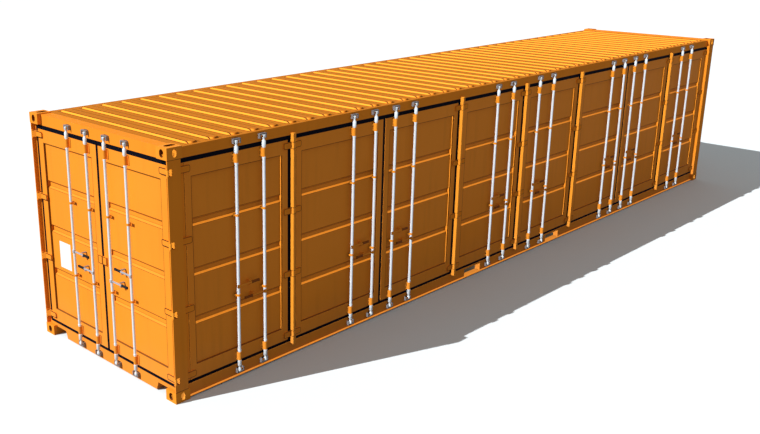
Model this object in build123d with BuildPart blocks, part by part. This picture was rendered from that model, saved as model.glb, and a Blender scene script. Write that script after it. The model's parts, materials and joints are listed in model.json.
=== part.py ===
from build123d import *
import os

# Side-door shipping container, 40 ft long, standard height.
# X runs along the length with the cargo doors at -X, the folding side doors face -Y, Z is up.
# The origin is on the ground under the middle of the box. All sizes are in millimetres.

# Overall size, set by the outer faces of the corner fittings
LENGTH = 12192.0
WIDTH = 2438.0
HEIGHT = 2591.0

# Corner fittings
FITTING_X = 178.0
FITTING_Y = 162.0
FITTING_Z = 118.0
FITTING_WALL = 28.0
FITTING_INNER_WALL = 10.0
SLOT_INSET_X = 103.5
SLOT_INSET_Y = 89.5
SLOT_LENGTH = 124.5
SLOT_WIDTH = 63.5
SIDE_HOLE_WIDTH = 51.0
END_HOLE_WIDTH = 63.5
HOLE_HEIGHT = 79.5
HOLE_CENTRE_Z = 59.0

# Frame planes
POST_SET = 4.0
FACE_SET = 46.0
RAIL_LIFT = 12.5
SILL_TOP = 140.0
HEADER_DROP = 131.0
HEADER_SINK = 12.0
RAIL_SINK = 25.0
RAIL_DEPTH = 74.0
END_RAIL_DEPTH = 132.0
SILL_DEPTH = 100.0
SECTION_WALL = 6.0
LIP_REACH = 30.0
LIP_THICKNESS = 6.0
NOTCH_LENGTH = 217.0
NOTCH_TOP_LENGTH = 187.0
NOTCH_HEIGHT = 88.0

# Corner posts
POST_SIDE_WIDTH = 160.0
POST_END_DEPTH = 110.0
FLANGE_WIDTH = 42.0
FLANGE_LIP = 12.0

# Blind walls and roof
SHEET = 2.0
WALL_SET = 8.0
SIDE_WAVE_PITCH = 278.0
SIDE_WAVE_DEPTH = 36.0
END_WAVE_PITCH = 250.0
END_WAVE_DEPTH = 45.0
WAVE_SLOPE = 40.0
RIDGE_PITCH = 265.6
RIDGE_BASE = 150.0
RIDGE_HEIGHT = 18.0
RIDGE_MARGIN = 89.0
RIDGE_TAPER = 50.0
BLIND_RAIL_WIDTH = 72.0
BLIND_RAIL_HEIGHT = 60.0

# Floor
FLOOR_THICKNESS = 28.0
CROSS_MEMBER_PITCH = 298.0
CROSS_MEMBER_HEIGHT = 122.0
CROSS_MEMBER_FLANGE = 45.0
CROSS_MEMBER_WALL = 4.5
POCKET_SPACING = 2050.0
POCKET_WIDTH = 360.0
POCKET_HEIGHT = 98.0

# Door leaves
LEAF_BOTTOM = 170.0
LEAF_TOP_GAP = 40.0
LEAF_THICKNESS = 50.0
LEAF_RAIL = 150.0
END_STILE = 90.0
SIDE_STILE = 78.0
INFILL_SET = 20.0
GROOVE_HEIGHT = 84.0
GROOVE_DEPTH = 22.0
GROOVE_SLOPE = 20.0
GROOVE_COUNT = 3
END_LEAF_EDGE = 78.0
SEAM_HALF = 16.0
SIDE_POST_GAP = 68.0
FOLD_GAP = 63.0
SIDE_SEAM_HALF = 21.0

# Gaskets
GASKET_SET = 2.0
SIDE_GASKET_SET = 14.0
GASKET_DEPTH = 20.0
GASKET_GAP = 5.0
SEAM_GAP = 3.5

# Fold hinge bars between the side leaves
FOLD_BAR_WIDTH = 28.0
FOLD_BAR_SET = 6.0
FOLD_CAP_WIDTH = 36.0
FOLD_CAP_SET = 3.0
FOLD_CAP_REACH = 22.0
FOLD_CAP_HEIGHT = 84.0

# Hinges
HINGE_LOW = 237.0
HINGE_COUNT = 4
PIN_INSET = 14.0
KNUCKLE_RADIUS = 13.0
BLADE_HEIGHT = 68.0
BLADE_THICKNESS = 12.0
BLADE_REACH = 160.0
BLADE_TIP = 18.0
HINGE_GAP = 0.5
HINGE_BEND = 60.0
HINGE_STEP = 18.0
HINGE_LUG = 12.0
LUG_WIDTH = 26.0
CUT_OUT = 56.0
SIDE_BLADE_REACH = 64.0

# Locking gear
BAR_RADIUS = 16.0
BAR_INSET = 22.0
BAR_LOW = 62.0
BAR_LAP = 69.0
END_BAR_OUTER = 522.0
END_BAR_INNER = 170.0
SIDE_BAR_SPACING = 367.0
FOLD_BAR_OFFSET = 420.0
SEAM_BAR_OFFSET = 175.5
CENTRE_BAR_OFFSET = 326.0
CAM_HEIGHT = 26.0
CAM_TAIL = 16.0
CAM_NOSE = 38.0
CAM_THICKNESS = 18.0
KEEPER_GAP = 7.0
KEEPER_CHEEK = 12.0
KEEPER_SET = 14.0
KEEPER_HEIGHT = 50.0
KEEPER_BRIDGE = 10.0
BEARING_PLATE = 4.0
BEARING_CLEARANCE = 0.3
BEARING_FOOT = 18.0
LONG_BEARING = 92.0
SHORT_BEARING = 24.0
TOP_BEARING_DROP = 68.0
LOW_BEARING_Z = 234.0
HIGH_MID_BEARING_Z = 1704.0
LOW_MID_BEARING_Z = 884.0
SIDE_HIGH_MID_Z = 1768.0
SIDE_LOW_MID_Z = 914.0

# Handles
HANDLE_HIGH_Z = 1160.0
HANDLE_LOW_Z = 1010.0
SIDE_HANDLE_HIGH_Z = 1010.0
SIDE_HANDLE_LOW_Z = 860.0
HANDLE_LENGTH = 285.0
HANDLE_HEIGHT = 26.0
HANDLE_THICKNESS = 10.0
HANDLE_SET = 12.0
HUB_HALF = 18.0
HUB_SET = 2.0
HUB_HEIGHT = 40.0
GRIP_LENGTH = 110.0
GRIP_HEIGHT = 30.0
GRIP_THICKNESS = 18.0
CATCH_PLACE = 160.0
CATCH_WIDTH = 26.0
CATCH_EAR = 8.0
CATCH_GAP = 5.0
CATCH_SET = 14.0

# Lap plates at the seam of the cargo doors
LAP_LOW = 1144.0
LAP_HIGH = 1234.0
LAP_REACH = 75.0
LAP_THICKNESS = 14.0

# Planes of the box, worked out from the sizes above
END_X = -LENGTH / 2
BLIND_X = LENGTH / 2
SIDE_Y = -WIDTH / 2
BLIND_Y = WIDTH / 2
TOP_FITTING_Z = HEIGHT - FITTING_Z
HEADER_BOTTOM = HEIGHT - HEADER_DROP
HEADER_TOP = HEIGHT - HEADER_SINK
RAIL_TOP = HEIGHT - RAIL_SINK
FACE_X = END_X + FACE_SET
FACE_Y = SIDE_Y + FACE_SET
LEAF_BACK = FACE_SET + LEAF_THICKNESS
FLOOR_TOP = SILL_TOP + FLOOR_THICKNESS
LEAF_TOP = HEADER_BOTTOM - LEAF_TOP_GAP
LEAF_HEIGHT = LEAF_TOP - LEAF_BOTTOM
LEAF_MIDDLE_Z = (LEAF_TOP + LEAF_BOTTOM) / 2
BAY = (LENGTH / 2 - POST_SIDE_WIDTH) / 4
BAR_HIGH = HEADER_BOTTOM + BAR_LAP
TOP_BEARING_Z = LEAF_TOP - TOP_BEARING_DROP
HINGE_PITCH = (TOP_BEARING_Z - HINGE_LOW) / (HINGE_COUNT - 1)
HINGE_HEIGHTS = [HINGE_LOW + HINGE_PITCH * step for step in range(HINGE_COUNT)]
POCKET_BOTTOM = RAIL_LIFT + LIP_THICKNESS

os.makedirs("parts", exist_ok=True)


def write(shape, name):
    """Label a finished piece and write its STEP file."""
    shape.label = name
    export_step(shape, f"parts/{name}.step")


def block(x_low, x_high, y_low, y_high, z_low, z_high, mode=Mode.ADD):
    """Add or cut a plain block between two corners."""
    middle = ((x_low + x_high) / 2, (y_low + y_high) / 2, (z_low + z_high) / 2)
    with Locations(middle):
        Box(x_high - x_low, y_high - y_low, z_high - z_low, mode=mode)


def cut_fittings():
    """Cope a frame member round all eight corner fittings."""
    with Locations((0, 0, FITTING_Z / 2), (0, 0, HEIGHT - FITTING_Z / 2)):
        with GridLocations(LENGTH - FITTING_X, WIDTH - FITTING_Y, 2, 2):
            Box(FITTING_X, FITTING_Y, FITTING_Z, mode=Mode.SUBTRACT)


class Face:
    """One outer face of the box that carries door leaves."""

    def __init__(self, origin, along, inward):
        self.origin = Vector(*origin)
        self.along = Vector(*along)
        self.inward = Vector(*inward)

    def plan(self, z):
        """Plane at height z: local x runs along the face and local y into the box."""
        return Plane(self.origin + Vector(0, 0, z), self.along, self.along.cross(self.inward))

    def elevation(self, depth):
        """Plane at a depth from the outer face: local x runs along the face and local y up."""
        return Plane(self.origin + self.inward * depth, self.along, self.along.cross(UP))

    def section(self, station):
        """Plane across the face at a station: local x runs into the box and local y up."""
        return Plane(self.origin + self.along * station, self.inward, self.inward.cross(UP))


UP = Vector(0, 0, 1)
SIDE_FACE = Face((0, SIDE_Y, 0), (1, 0, 0), (0, 1, 0))
END_FACE = Face((END_X, 0, 0), (0, 1, 0), (1, 0, 0))


# Corner fittings: hollow castings with a slot in the top or bottom and a hole in each outer face

def corner_fittings(z_low, slot_z, name):
    """Four hollow castings at one level, slotted on the face at slot_z."""
    with BuildPart() as fittings:
        with Locations((0, 0, z_low + FITTING_Z / 2)):
            with GridLocations(LENGTH - FITTING_X, WIDTH - FITTING_Y, 2, 2):
                Box(FITTING_X, FITTING_Y, FITTING_Z)
            offset = FITTING_WALL - FITTING_INNER_WALL
            walls = FITTING_WALL + FITTING_INNER_WALL
            with GridLocations(LENGTH - FITTING_X - offset, WIDTH - FITTING_Y - offset, 2, 2):
                Box(
                    FITTING_X - walls,
                    FITTING_Y - walls,
                    FITTING_Z - 2 * FITTING_WALL,
                    mode=Mode.SUBTRACT,
                )
        outward = 1 if slot_z > z_low else -1
        with BuildSketch(Plane.XY.offset(slot_z)):
            with GridLocations(LENGTH - 2 * SLOT_INSET_X, WIDTH - 2 * SLOT_INSET_Y, 2, 2):
                SlotOverall(SLOT_LENGTH, SLOT_WIDTH)
        extrude(amount=-outward * FITTING_WALL, mode=Mode.SUBTRACT)
        hole_z = z_low + (FITTING_Z - HOLE_CENTRE_Z if outward > 0 else HOLE_CENTRE_Z)
        for side in (-1, 1):
            with BuildSketch(Plane.XZ.offset(-side * WIDTH / 2)):
                with Locations((0, hole_z)):
                    with GridLocations(LENGTH - FITTING_X, 0, 2, 1):
                        SlotOverall(HOLE_HEIGHT, SIDE_HOLE_WIDTH, rotation=90)
            extrude(amount=side * FITTING_WALL, mode=Mode.SUBTRACT)
            with BuildSketch(Plane.YZ.offset(side * LENGTH / 2)):
                with Locations((0, hole_z)):
                    with GridLocations(WIDTH - FITTING_Y, 0, 2, 1):
                        SlotOverall(HOLE_HEIGHT, END_HOLE_WIDTH, rotation=90)
            extrude(amount=-side * FITTING_WALL, mode=Mode.SUBTRACT)
    write(fittings.part, name)


# Corner posts: a box section with, at the door end, an outer lip that the hinges interrupt

def door_post(side, name):
    """One post of the cargo door end, with two lugs at each hinge; side is -1 at -Y and 1 at +Y."""
    edge = side * WIDTH / 2
    inward = -side
    back_x = END_X + LEAF_BACK + GASKET_GAP
    lug_low = BLADE_HEIGHT / 2 + HINGE_GAP
    lug_y = edge + inward * (POST_SET + LUG_WIDTH / 2)
    lug_centres = []
    for z in HINGE_HEIGHTS:
        for step in (-1, 1):
            lug_centres.append((END_X + (POST_SET + CUT_OUT) / 2, lug_y,
                                z + step * (lug_low + HINGE_LUG / 2)))
    with BuildPart() as post:
        with BuildSketch(Plane.XY.offset(FITTING_Z)):
            with BuildLine():
                Polyline(
                    (END_X + POST_SET, edge + inward * POST_SET),
                    (END_X + POST_SIDE_WIDTH, edge + inward * POST_SET),
                    (END_X + POST_SIDE_WIDTH, edge + inward * POST_END_DEPTH),
                    (back_x, edge + inward * POST_END_DEPTH),
                    (back_x, edge + inward * FLANGE_WIDTH),
                    (FACE_X, edge + inward * FLANGE_WIDTH),
                    (FACE_X, edge + inward * (POST_SET + FLANGE_LIP)),
                    (END_X + POST_SET, edge + inward * (POST_SET + FLANGE_LIP)),
                    close=True,
                )
            make_face()
        extrude(amount=TOP_FITTING_Z - FITTING_Z)
        with Locations(*[(END_X, edge, z) for z in HINGE_HEIGHTS]):
            Box(2 * CUT_OUT, 2 * CUT_OUT, 2 * (lug_low + HINGE_LUG), mode=Mode.SUBTRACT)
        with Locations(*lug_centres):
            Box(CUT_OUT - POST_SET, LUG_WIDTH, HINGE_LUG)
    write(post.part, name)


def blind_post(side, name):
    """One post of the blind end."""
    edge = side * WIDTH / 2
    inward = -side
    with BuildPart() as post:
        with BuildSketch(Plane.XY.offset(FITTING_Z)):
            with BuildLine():
                Polyline(
                    (BLIND_X - POST_SET, edge + inward * POST_SET),
                    (BLIND_X - POST_SIDE_WIDTH, edge + inward * POST_SET),
                    (BLIND_X - POST_SIDE_WIDTH, edge + inward * POST_END_DEPTH),
                    (BLIND_X - POST_SET, edge + inward * POST_END_DEPTH),
                    close=True,
                )
            make_face()
        extrude(amount=TOP_FITTING_Z - FITTING_Z)
    write(post.part, name)


# End frame: header and sill at the doors, plain rails at the blind end

def door_header():
    """The beam over the cargo doors."""
    reach = WIDTH / 2 - FLANGE_WIDTH
    with BuildPart() as header:
        with BuildSketch(Plane.XZ.offset(-reach)):
            with Locations((FACE_X + END_RAIL_DEPTH / 2, (HEADER_BOTTOM + HEADER_TOP) / 2)):
                Rectangle(END_RAIL_DEPTH, HEADER_TOP - HEADER_BOTTOM)
                Rectangle(
                    END_RAIL_DEPTH - 2 * SECTION_WALL,
                    HEADER_TOP - HEADER_BOTTOM - 2 * SECTION_WALL,
                    mode=Mode.SUBTRACT,
                )
        extrude(amount=2 * reach)
        cut_fittings()
        cut_door_posts()
        block(END_X + POST_SIDE_WIDTH, END_X + FITTING_X, SIDE_Y, FACE_Y + RAIL_DEPTH,
              HEADER_BOTTOM, TOP_FITTING_Z, Mode.SUBTRACT)
    write(header.part, "door_header")


def cut_door_posts():
    """Cut the door posts' cores out of a member that runs between them."""
    back_x = END_X + LEAF_BACK + GASKET_GAP
    for side in (-1, 1):
        edge = side * WIDTH / 2
        inner = edge - side * POST_END_DEPTH
        flange = edge - side * FLANGE_WIDTH
        block(back_x, END_X + POST_SIDE_WIDTH, min(edge, inner), max(edge, inner),
              FITTING_Z, TOP_FITTING_Z, Mode.SUBTRACT)
        block(END_X, back_x, min(edge, flange), max(edge, flange),
              FITTING_Z, TOP_FITTING_Z, Mode.SUBTRACT)


def door_sill():
    """The beam under the cargo doors, notched beside both bottom fittings."""
    reach = WIDTH / 2 - FLANGE_WIDTH
    with BuildPart() as sill:
        with BuildSketch(Plane.XZ.offset(-reach)):
            with Locations((FACE_X + SILL_DEPTH / 2, (RAIL_LIFT + SILL_TOP) / 2)):
                Rectangle(SILL_DEPTH, SILL_TOP - RAIL_LIFT)
        extrude(amount=2 * reach)
        cut_fittings()
        cut_door_posts()
        inner = WIDTH / 2 - FITTING_Y
        with BuildSketch(Plane.YZ.offset(FACE_X)):
            for side in (-1, 1):
                with BuildLine():
                    Polyline(
                        (side * inner, RAIL_LIFT),
                        (side * inner, NOTCH_HEIGHT + RAIL_LIFT),
                        (side * (inner - NOTCH_TOP_LENGTH), NOTCH_HEIGHT + RAIL_LIFT),
                        (side * (inner - NOTCH_LENGTH), RAIL_LIFT),
                        close=True,
                    )
                make_face()
        extrude(amount=SILL_DEPTH, mode=Mode.SUBTRACT)
    write(sill.part, "door_sill")


def blind_end_rails():
    """Top and bottom rails of the blind end."""
    reach = WIDTH / 2 - POST_SET
    for name, depth, z_low, z_high in (
        ("blind_end_top_rail", FITTING_X - WALL_SET, TOP_FITTING_Z, HEADER_TOP),
        ("blind_end_bottom_rail", BLIND_RAIL_WIDTH, RAIL_LIFT, SILL_TOP),
    ):
        with BuildPart() as rail:
            with BuildSketch(Plane.XZ.offset(-reach)):
                with Locations((BLIND_X - WALL_SET - depth / 2, (z_low + z_high) / 2)):
                    Rectangle(depth, z_high - z_low)
            extrude(amount=2 * reach)
            cut_fittings()
            for side in (-1, 1):
                edge = side * WIDTH / 2
                inner = edge - side * POST_END_DEPTH
                block(BLIND_X - POST_SIDE_WIDTH, BLIND_X, min(edge, inner), max(edge, inner),
                      FITTING_Z, TOP_FITTING_Z, Mode.SUBTRACT)
        write(rail.part, name)


# Side frame

def door_side_rails():
    """Rails over and under the folding side doors."""
    reach = LENGTH / 2 - POST_SIDE_WIDTH
    with BuildPart() as top:
        with BuildSketch(Plane.YZ.offset(-reach)):
            with Locations((FACE_Y + RAIL_DEPTH / 2, (HEADER_BOTTOM + RAIL_TOP) / 2)):
                Rectangle(RAIL_DEPTH, RAIL_TOP - HEADER_BOTTOM)
                Rectangle(
                    RAIL_DEPTH - 2 * SECTION_WALL,
                    RAIL_TOP - HEADER_BOTTOM - 2 * SECTION_WALL,
                    mode=Mode.SUBTRACT,
                )
        extrude(amount=2 * reach)
        cut_fittings()
    write(top.part, "top_rail_doors")

    with BuildPart() as bottom:
        with BuildSketch(Plane.YZ.offset(-reach)):
            with BuildLine():
                Polyline(
                    (FACE_Y - LIP_REACH, RAIL_LIFT),
                    (FACE_Y + RAIL_DEPTH, RAIL_LIFT),
                    (FACE_Y + RAIL_DEPTH, SILL_TOP),
                    (FACE_Y, SILL_TOP),
                    (FACE_Y, RAIL_LIFT + LIP_THICKNESS),
                    (FACE_Y - LIP_REACH, RAIL_LIFT + LIP_THICKNESS),
                    close=True,
                )
            make_face()
        extrude(amount=2 * reach)
        cut_fittings()
        cut_pockets()
    write(bottom.part, "bottom_rail_doors")


def cut_pockets():
    """Cut both forklift pockets through a member."""
    with BuildSketch(Plane.XZ.offset(-WIDTH / 2)) as mouths:
        with Locations((0, POCKET_BOTTOM + POCKET_HEIGHT / 2)):
            with GridLocations(POCKET_SPACING, 0, 2, 1):
                Rectangle(POCKET_WIDTH, POCKET_HEIGHT)
    extrude(mouths.sketch, amount=WIDTH, mode=Mode.SUBTRACT)


def blind_side_rails():
    """Rails over and under the corrugated long wall."""
    reach = LENGTH / 2 - POST_SIDE_WIDTH
    inner_y = BLIND_Y - WALL_SET
    for name, z_low, z_high in (
        ("top_rail_blind", RAIL_TOP - BLIND_RAIL_HEIGHT, RAIL_TOP),
        ("bottom_rail_blind", RAIL_LIFT, SILL_TOP),
    ):
        with BuildPart() as rail:
            with BuildSketch(Plane.YZ.offset(-reach)):
                with Locations((inner_y - BLIND_RAIL_WIDTH / 2, (z_low + z_high) / 2)):
                    Rectangle(BLIND_RAIL_WIDTH, z_high - z_low)
            extrude(amount=2 * reach)
            cut_fittings()
            if z_low < FITTING_Z:
                cut_pockets()
        write(rail.part, name)


# Corrugated blind walls

def wave_points(start, end, pitch, depth):
    """Corners of a trapezoid wave between two stations, as (station, depth) pairs."""
    count = int((end - start) // pitch)
    margin = ((end - start) - count * pitch) / 2
    flat = (pitch - 2 * WAVE_SLOPE) / 2
    points = [(start, 0.0)]
    for step in range(count):
        base = start + margin + step * pitch
        points.append((base + flat / 2, 0.0))
        points.append((base + flat / 2 + WAVE_SLOPE, depth))
        points.append((base + flat * 1.5 + WAVE_SLOPE, depth))
        points.append((base + flat * 1.5 + 2 * WAVE_SLOPE, 0.0))
    points.append((end, 0.0))
    return points


def blind_side_wall():
    """The corrugated long wall opposite the side doors."""
    reach = LENGTH / 2 - POST_SIDE_WIDTH
    outer_y = BLIND_Y - WALL_SET
    wave = wave_points(-reach, reach, SIDE_WAVE_PITCH, SIDE_WAVE_DEPTH)
    with BuildPart() as wall:
        with BuildSketch(Plane.XY.offset(SILL_TOP)):
            with BuildLine():
                outer = [(x, outer_y - depth) for x, depth in wave]
                inner = [(x, outer_y - depth - SHEET) for x, depth in reversed(wave)]
                Polyline(*outer, *inner, close=True)
            make_face()
        extrude(amount=RAIL_TOP - BLIND_RAIL_HEIGHT - SILL_TOP)
        cut_fittings()
    write(wall.part, "side_wall_blind")


def blind_end_wall():
    """The corrugated wall of the blind end."""
    reach = WIDTH / 2 - POST_END_DEPTH
    outer_x = BLIND_X - WALL_SET
    wave = wave_points(-reach, reach, END_WAVE_PITCH, END_WAVE_DEPTH)
    with BuildPart() as wall:
        with BuildSketch(Plane.XY.offset(SILL_TOP)):
            with BuildLine():
                outer = [(outer_x - depth, y) for y, depth in wave]
                inner = [(outer_x - depth - SHEET, y) for y, depth in reversed(wave)]
                Polyline(*outer, *inner, close=True)
            make_face()
        extrude(amount=TOP_FITTING_Z - SILL_TOP)
    write(wall.part, "end_wall_blind")


# Roof: one sheet with pressed cross ridges that stop short of the side rails

def roof_panel():
    """The roof sheet with its hollow ridges."""
    reach = LENGTH / 2 - FITTING_X
    ridge_reach = WIDTH - 2 * RIDGE_MARGIN
    count = int(2 * reach // RIDGE_PITCH)
    with BuildPart() as roof:
        block(-reach, reach, FACE_Y, BLIND_Y - WALL_SET, RAIL_TOP, RAIL_TOP + SHEET)
        with BuildSketch(Plane.XY.offset(RAIL_TOP + SHEET)):
            with GridLocations(RIDGE_PITCH, 0, count, 1):
                Rectangle(RIDGE_BASE, ridge_reach)
        extrude(amount=RIDGE_HEIGHT, taper=RIDGE_TAPER)
        with BuildSketch(Plane.XY.offset(RAIL_TOP)):
            with GridLocations(RIDGE_PITCH, 0, count, 1):
                Rectangle(RIDGE_BASE, ridge_reach)
        extrude(amount=RIDGE_HEIGHT, taper=RIDGE_TAPER, mode=Mode.SUBTRACT)
    write(roof.part, "roof_panel")


# Floor

def floor_boards():
    """The timber deck."""
    with BuildPart() as boards:
        block(
            END_X + LEAF_BACK + GASKET_GAP,
            BLIND_X - WALL_SET - END_WAVE_DEPTH - SHEET - GASKET_GAP,
            SIDE_Y + LEAF_BACK + GASKET_GAP,
            BLIND_Y - WALL_SET - SIDE_WAVE_DEPTH - SHEET - GASKET_GAP,
            SILL_TOP,
            FLOOR_TOP,
        )
        for end in (-1, 1):
            for side in (-1, 1):
                x = end * LENGTH / 2
                y = side * WIDTH / 2
                x_inner = x - end * POST_SIDE_WIDTH
                y_inner = y - side * POST_END_DEPTH
                block(min(x, x_inner), max(x, x_inner), min(y, y_inner), max(y, y_inner),
                      SILL_TOP, FLOOR_TOP, Mode.SUBTRACT)
    write(boards.part, "floor_boards")


def cross_members():
    """Channels that carry the deck between the bottom rails."""
    low_y = FACE_Y + RAIL_DEPTH
    high_y = BLIND_Y - WALL_SET - BLIND_RAIL_WIDTH
    reach = LENGTH / 2 - FITTING_X
    count = int(2 * reach // CROSS_MEMBER_PITCH)
    pocket_edge = POCKET_WIDTH / 2 + SECTION_WALL + CROSS_MEMBER_FLANGE
    bottom_z = SILL_TOP - CROSS_MEMBER_HEIGHT
    steps = [(step - (count - 1) / 2) * CROSS_MEMBER_PITCH for step in range(count)]
    stations = [x for x in steps if abs(abs(x) - POCKET_SPACING / 2) >= pocket_edge]
    channel = [
        (0, bottom_z),
        (CROSS_MEMBER_FLANGE, bottom_z),
        (CROSS_MEMBER_FLANGE, bottom_z + CROSS_MEMBER_WALL),
        (CROSS_MEMBER_WALL, bottom_z + CROSS_MEMBER_WALL),
        (CROSS_MEMBER_WALL, SILL_TOP - CROSS_MEMBER_WALL),
        (CROSS_MEMBER_FLANGE, SILL_TOP - CROSS_MEMBER_WALL),
        (CROSS_MEMBER_FLANGE, SILL_TOP),
        (0, SILL_TOP),
    ]
    with BuildPart() as members:
        with BuildSketch(Plane.XZ.offset(-low_y)):
            with Locations(*[(x, 0) for x in stations]):
                Polygon(*channel, align=None)
        extrude(amount=-(high_y - low_y))
    write(members.part, "cross_members")


def fork_pockets():
    """Two box tunnels between the bottom rails."""
    low_y = FACE_Y + RAIL_DEPTH
    high_y = BLIND_Y - WALL_SET - BLIND_RAIL_WIDTH
    with BuildPart() as pockets:
        with BuildSketch(Plane.XZ.offset(-low_y)):
            with Locations((0, POCKET_BOTTOM + POCKET_HEIGHT / 2)):
                with GridLocations(POCKET_SPACING, 0, 2, 1):
                    Rectangle(POCKET_WIDTH + 2 * SECTION_WALL, POCKET_HEIGHT + 2 * SECTION_WALL)
                    Rectangle(POCKET_WIDTH, POCKET_HEIGHT, mode=Mode.SUBTRACT)
        extrude(amount=-(high_y - low_y))
    write(pockets.part, "fork_pockets")


# Door leaves: a frame round a pressed infill with three level grooves

def infill_points(set_back):
    """Corners of the pressed infill from bottom to top, as (set back, height) pairs."""
    low = LEAF_BOTTOM + LEAF_RAIL
    high = LEAF_TOP - LEAF_RAIL
    field = (high - low - GROOVE_COUNT * GROOVE_HEIGHT) / (GROOVE_COUNT + 1)
    points = [(set_back, low)]
    for step in range(GROOVE_COUNT):
        base = low + (step + 1) * field + step * GROOVE_HEIGHT
        points.append((set_back, base))
        points.append((set_back + GROOVE_DEPTH, base + GROOVE_SLOPE))
        points.append((set_back + GROOVE_DEPTH, base + GROOVE_HEIGHT - GROOVE_SLOPE))
        points.append((set_back, base + GROOVE_HEIGHT))
    points.append((set_back, high))
    return points


def leaf_solid(face, low, high, stile):
    """One leaf between two stations along a face."""
    with BuildPart() as leaf:
        with BuildSketch(face.elevation(FACE_SET)):
            with Locations(((low + high) / 2, LEAF_MIDDLE_Z)):
                Rectangle(high - low, LEAF_HEIGHT)
                Rectangle(high - low - 2 * stile, LEAF_HEIGHT - 2 * LEAF_RAIL, mode=Mode.SUBTRACT)
        extrude(amount=LEAF_THICKNESS, dir=face.inward)
        front = infill_points(FACE_SET + INFILL_SET)
        back = [(depth + SHEET, z) for depth, z in reversed(front)]
        with BuildSketch(face.section(low + stile)):
            with BuildLine():
                Polyline(*front, *back, close=True)
            make_face()
        extrude(amount=high - low - 2 * stile, dir=face.along)
    return leaf.part


# Stations of the side leaves, from the door end

def side_stations():
    """Low and high X of the eight side leaves, and X of the five upright bars between them."""
    leaves = []
    bars = []
    start = END_X + POST_SIDE_WIDTH
    for half in (-1, 1):
        mirrored = []
        edges = (
            (start + SIDE_POST_GAP, start + BAY - FOLD_GAP),
            (start + BAY + FOLD_GAP, start + 2 * BAY - SIDE_SEAM_HALF),
            (start + 2 * BAY + SIDE_SEAM_HALF, start + 3 * BAY - FOLD_GAP),
            (start + 3 * BAY + FOLD_GAP, -FOLD_GAP),
        )
        for low, high in edges:
            mirrored.append((low, high) if half < 0 else (-high, -low))
        leaves.extend(mirrored if half < 0 else reversed(mirrored))
    for step in (1, 3):
        bars.append(start + step * BAY)
    bars.append(0.0)
    for step in (3, 1):
        bars.append(-(start + step * BAY))
    return leaves, bars


def side_bar_stations():
    """X of the sixteen side bars: two on each leaf, set off from the seams and upright bars."""
    start = END_X + POST_SIDE_WIDTH
    seam = start + 2 * BAY
    near = []
    for high in (start + BAY - FOLD_BAR_OFFSET, seam - SEAM_BAR_OFFSET,
                 seam + SEAM_BAR_OFFSET + SIDE_BAR_SPACING, -CENTRE_BAR_OFFSET):
        near += [high - SIDE_BAR_SPACING, high]
    return near + [-x for x in reversed(near)]


SIDE_LEAVES, UPRIGHTS = side_stations()
SIDE_BARS = side_bar_stations()


def side_leaves():
    """The eight leaves of the folding side doors."""
    for index, (low, high) in enumerate(SIDE_LEAVES):
        write(leaf_solid(SIDE_FACE, low, high, SIDE_STILE), f"side_leaf_{index + 1}")


def side_gaskets():
    """The seal between the side leaves, the posts and the rails, with an opening for each leaf."""
    reach = LENGTH / 2 - POST_SIDE_WIDTH
    with BuildPart() as gaskets:
        with BuildSketch(SIDE_FACE.elevation(FACE_SET + SIDE_GASKET_SET)):
            with Locations((0, (SILL_TOP + HEADER_BOTTOM) / 2)):
                Rectangle(2 * reach, HEADER_BOTTOM - SILL_TOP)
            for low, high in SIDE_LEAVES:
                with Locations(((low + high) / 2, LEAF_MIDDLE_Z)):
                    Rectangle(high - low, LEAF_HEIGHT, mode=Mode.SUBTRACT)
        extrude(amount=GASKET_DEPTH, dir=SIDE_FACE.inward)
    write(gaskets.part, "side_gaskets")


def upright_bars(stations, name):
    """Proud bars between the side leaves, each with a wider cap lapped on both rails."""
    cap_top = HEADER_BOTTOM + FOLD_CAP_REACH
    cap_bottom = SILL_TOP - FOLD_CAP_REACH
    with BuildPart() as bars:
        with BuildSketch(SIDE_FACE.plan(cap_bottom)):
            with Locations(*[(x, (FOLD_CAP_SET + FACE_SET) / 2) for x in stations]):
                Rectangle(FOLD_CAP_WIDTH, FACE_SET - FOLD_CAP_SET)
        extrude(amount=FOLD_CAP_HEIGHT, dir=UP)
        with BuildSketch(SIDE_FACE.plan(cap_bottom)):
            with Locations(*[(x, (FOLD_BAR_SET + FACE_SET) / 2) for x in stations]):
                Rectangle(FOLD_BAR_WIDTH, FACE_SET - FOLD_BAR_SET)
        extrude(amount=cap_top - cap_bottom, dir=UP)
        with BuildSketch(SIDE_FACE.plan(SILL_TOP)):
            with Locations(*[(x, FACE_SET + SIDE_GASKET_SET / 2) for x in stations]):
                Rectangle(FOLD_BAR_WIDTH, SIDE_GASKET_SET)
        extrude(amount=HEADER_BOTTOM - SILL_TOP, dir=UP)
        with BuildSketch(SIDE_FACE.plan(cap_top - FOLD_CAP_HEIGHT)):
            with Locations(*[(x, (FOLD_CAP_SET + FACE_SET) / 2) for x in stations]):
                Rectangle(FOLD_CAP_WIDTH, FACE_SET - FOLD_CAP_SET)
        extrude(amount=FOLD_CAP_HEIGHT, dir=UP)
    write(bars.part, name)


def blade_outline(root, tip):
    """Corners of a hinge blade about its own height, square at the root and cut at the tip."""
    half = BLADE_HEIGHT / 2
    back = tip - BLADE_TIP if tip > root else tip + BLADE_TIP
    return [
        (root, -half),
        (back, -half),
        (tip, BLADE_TIP - half),
        (tip, half - BLADE_TIP),
        (back, half),
        (root, half),
    ]


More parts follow.
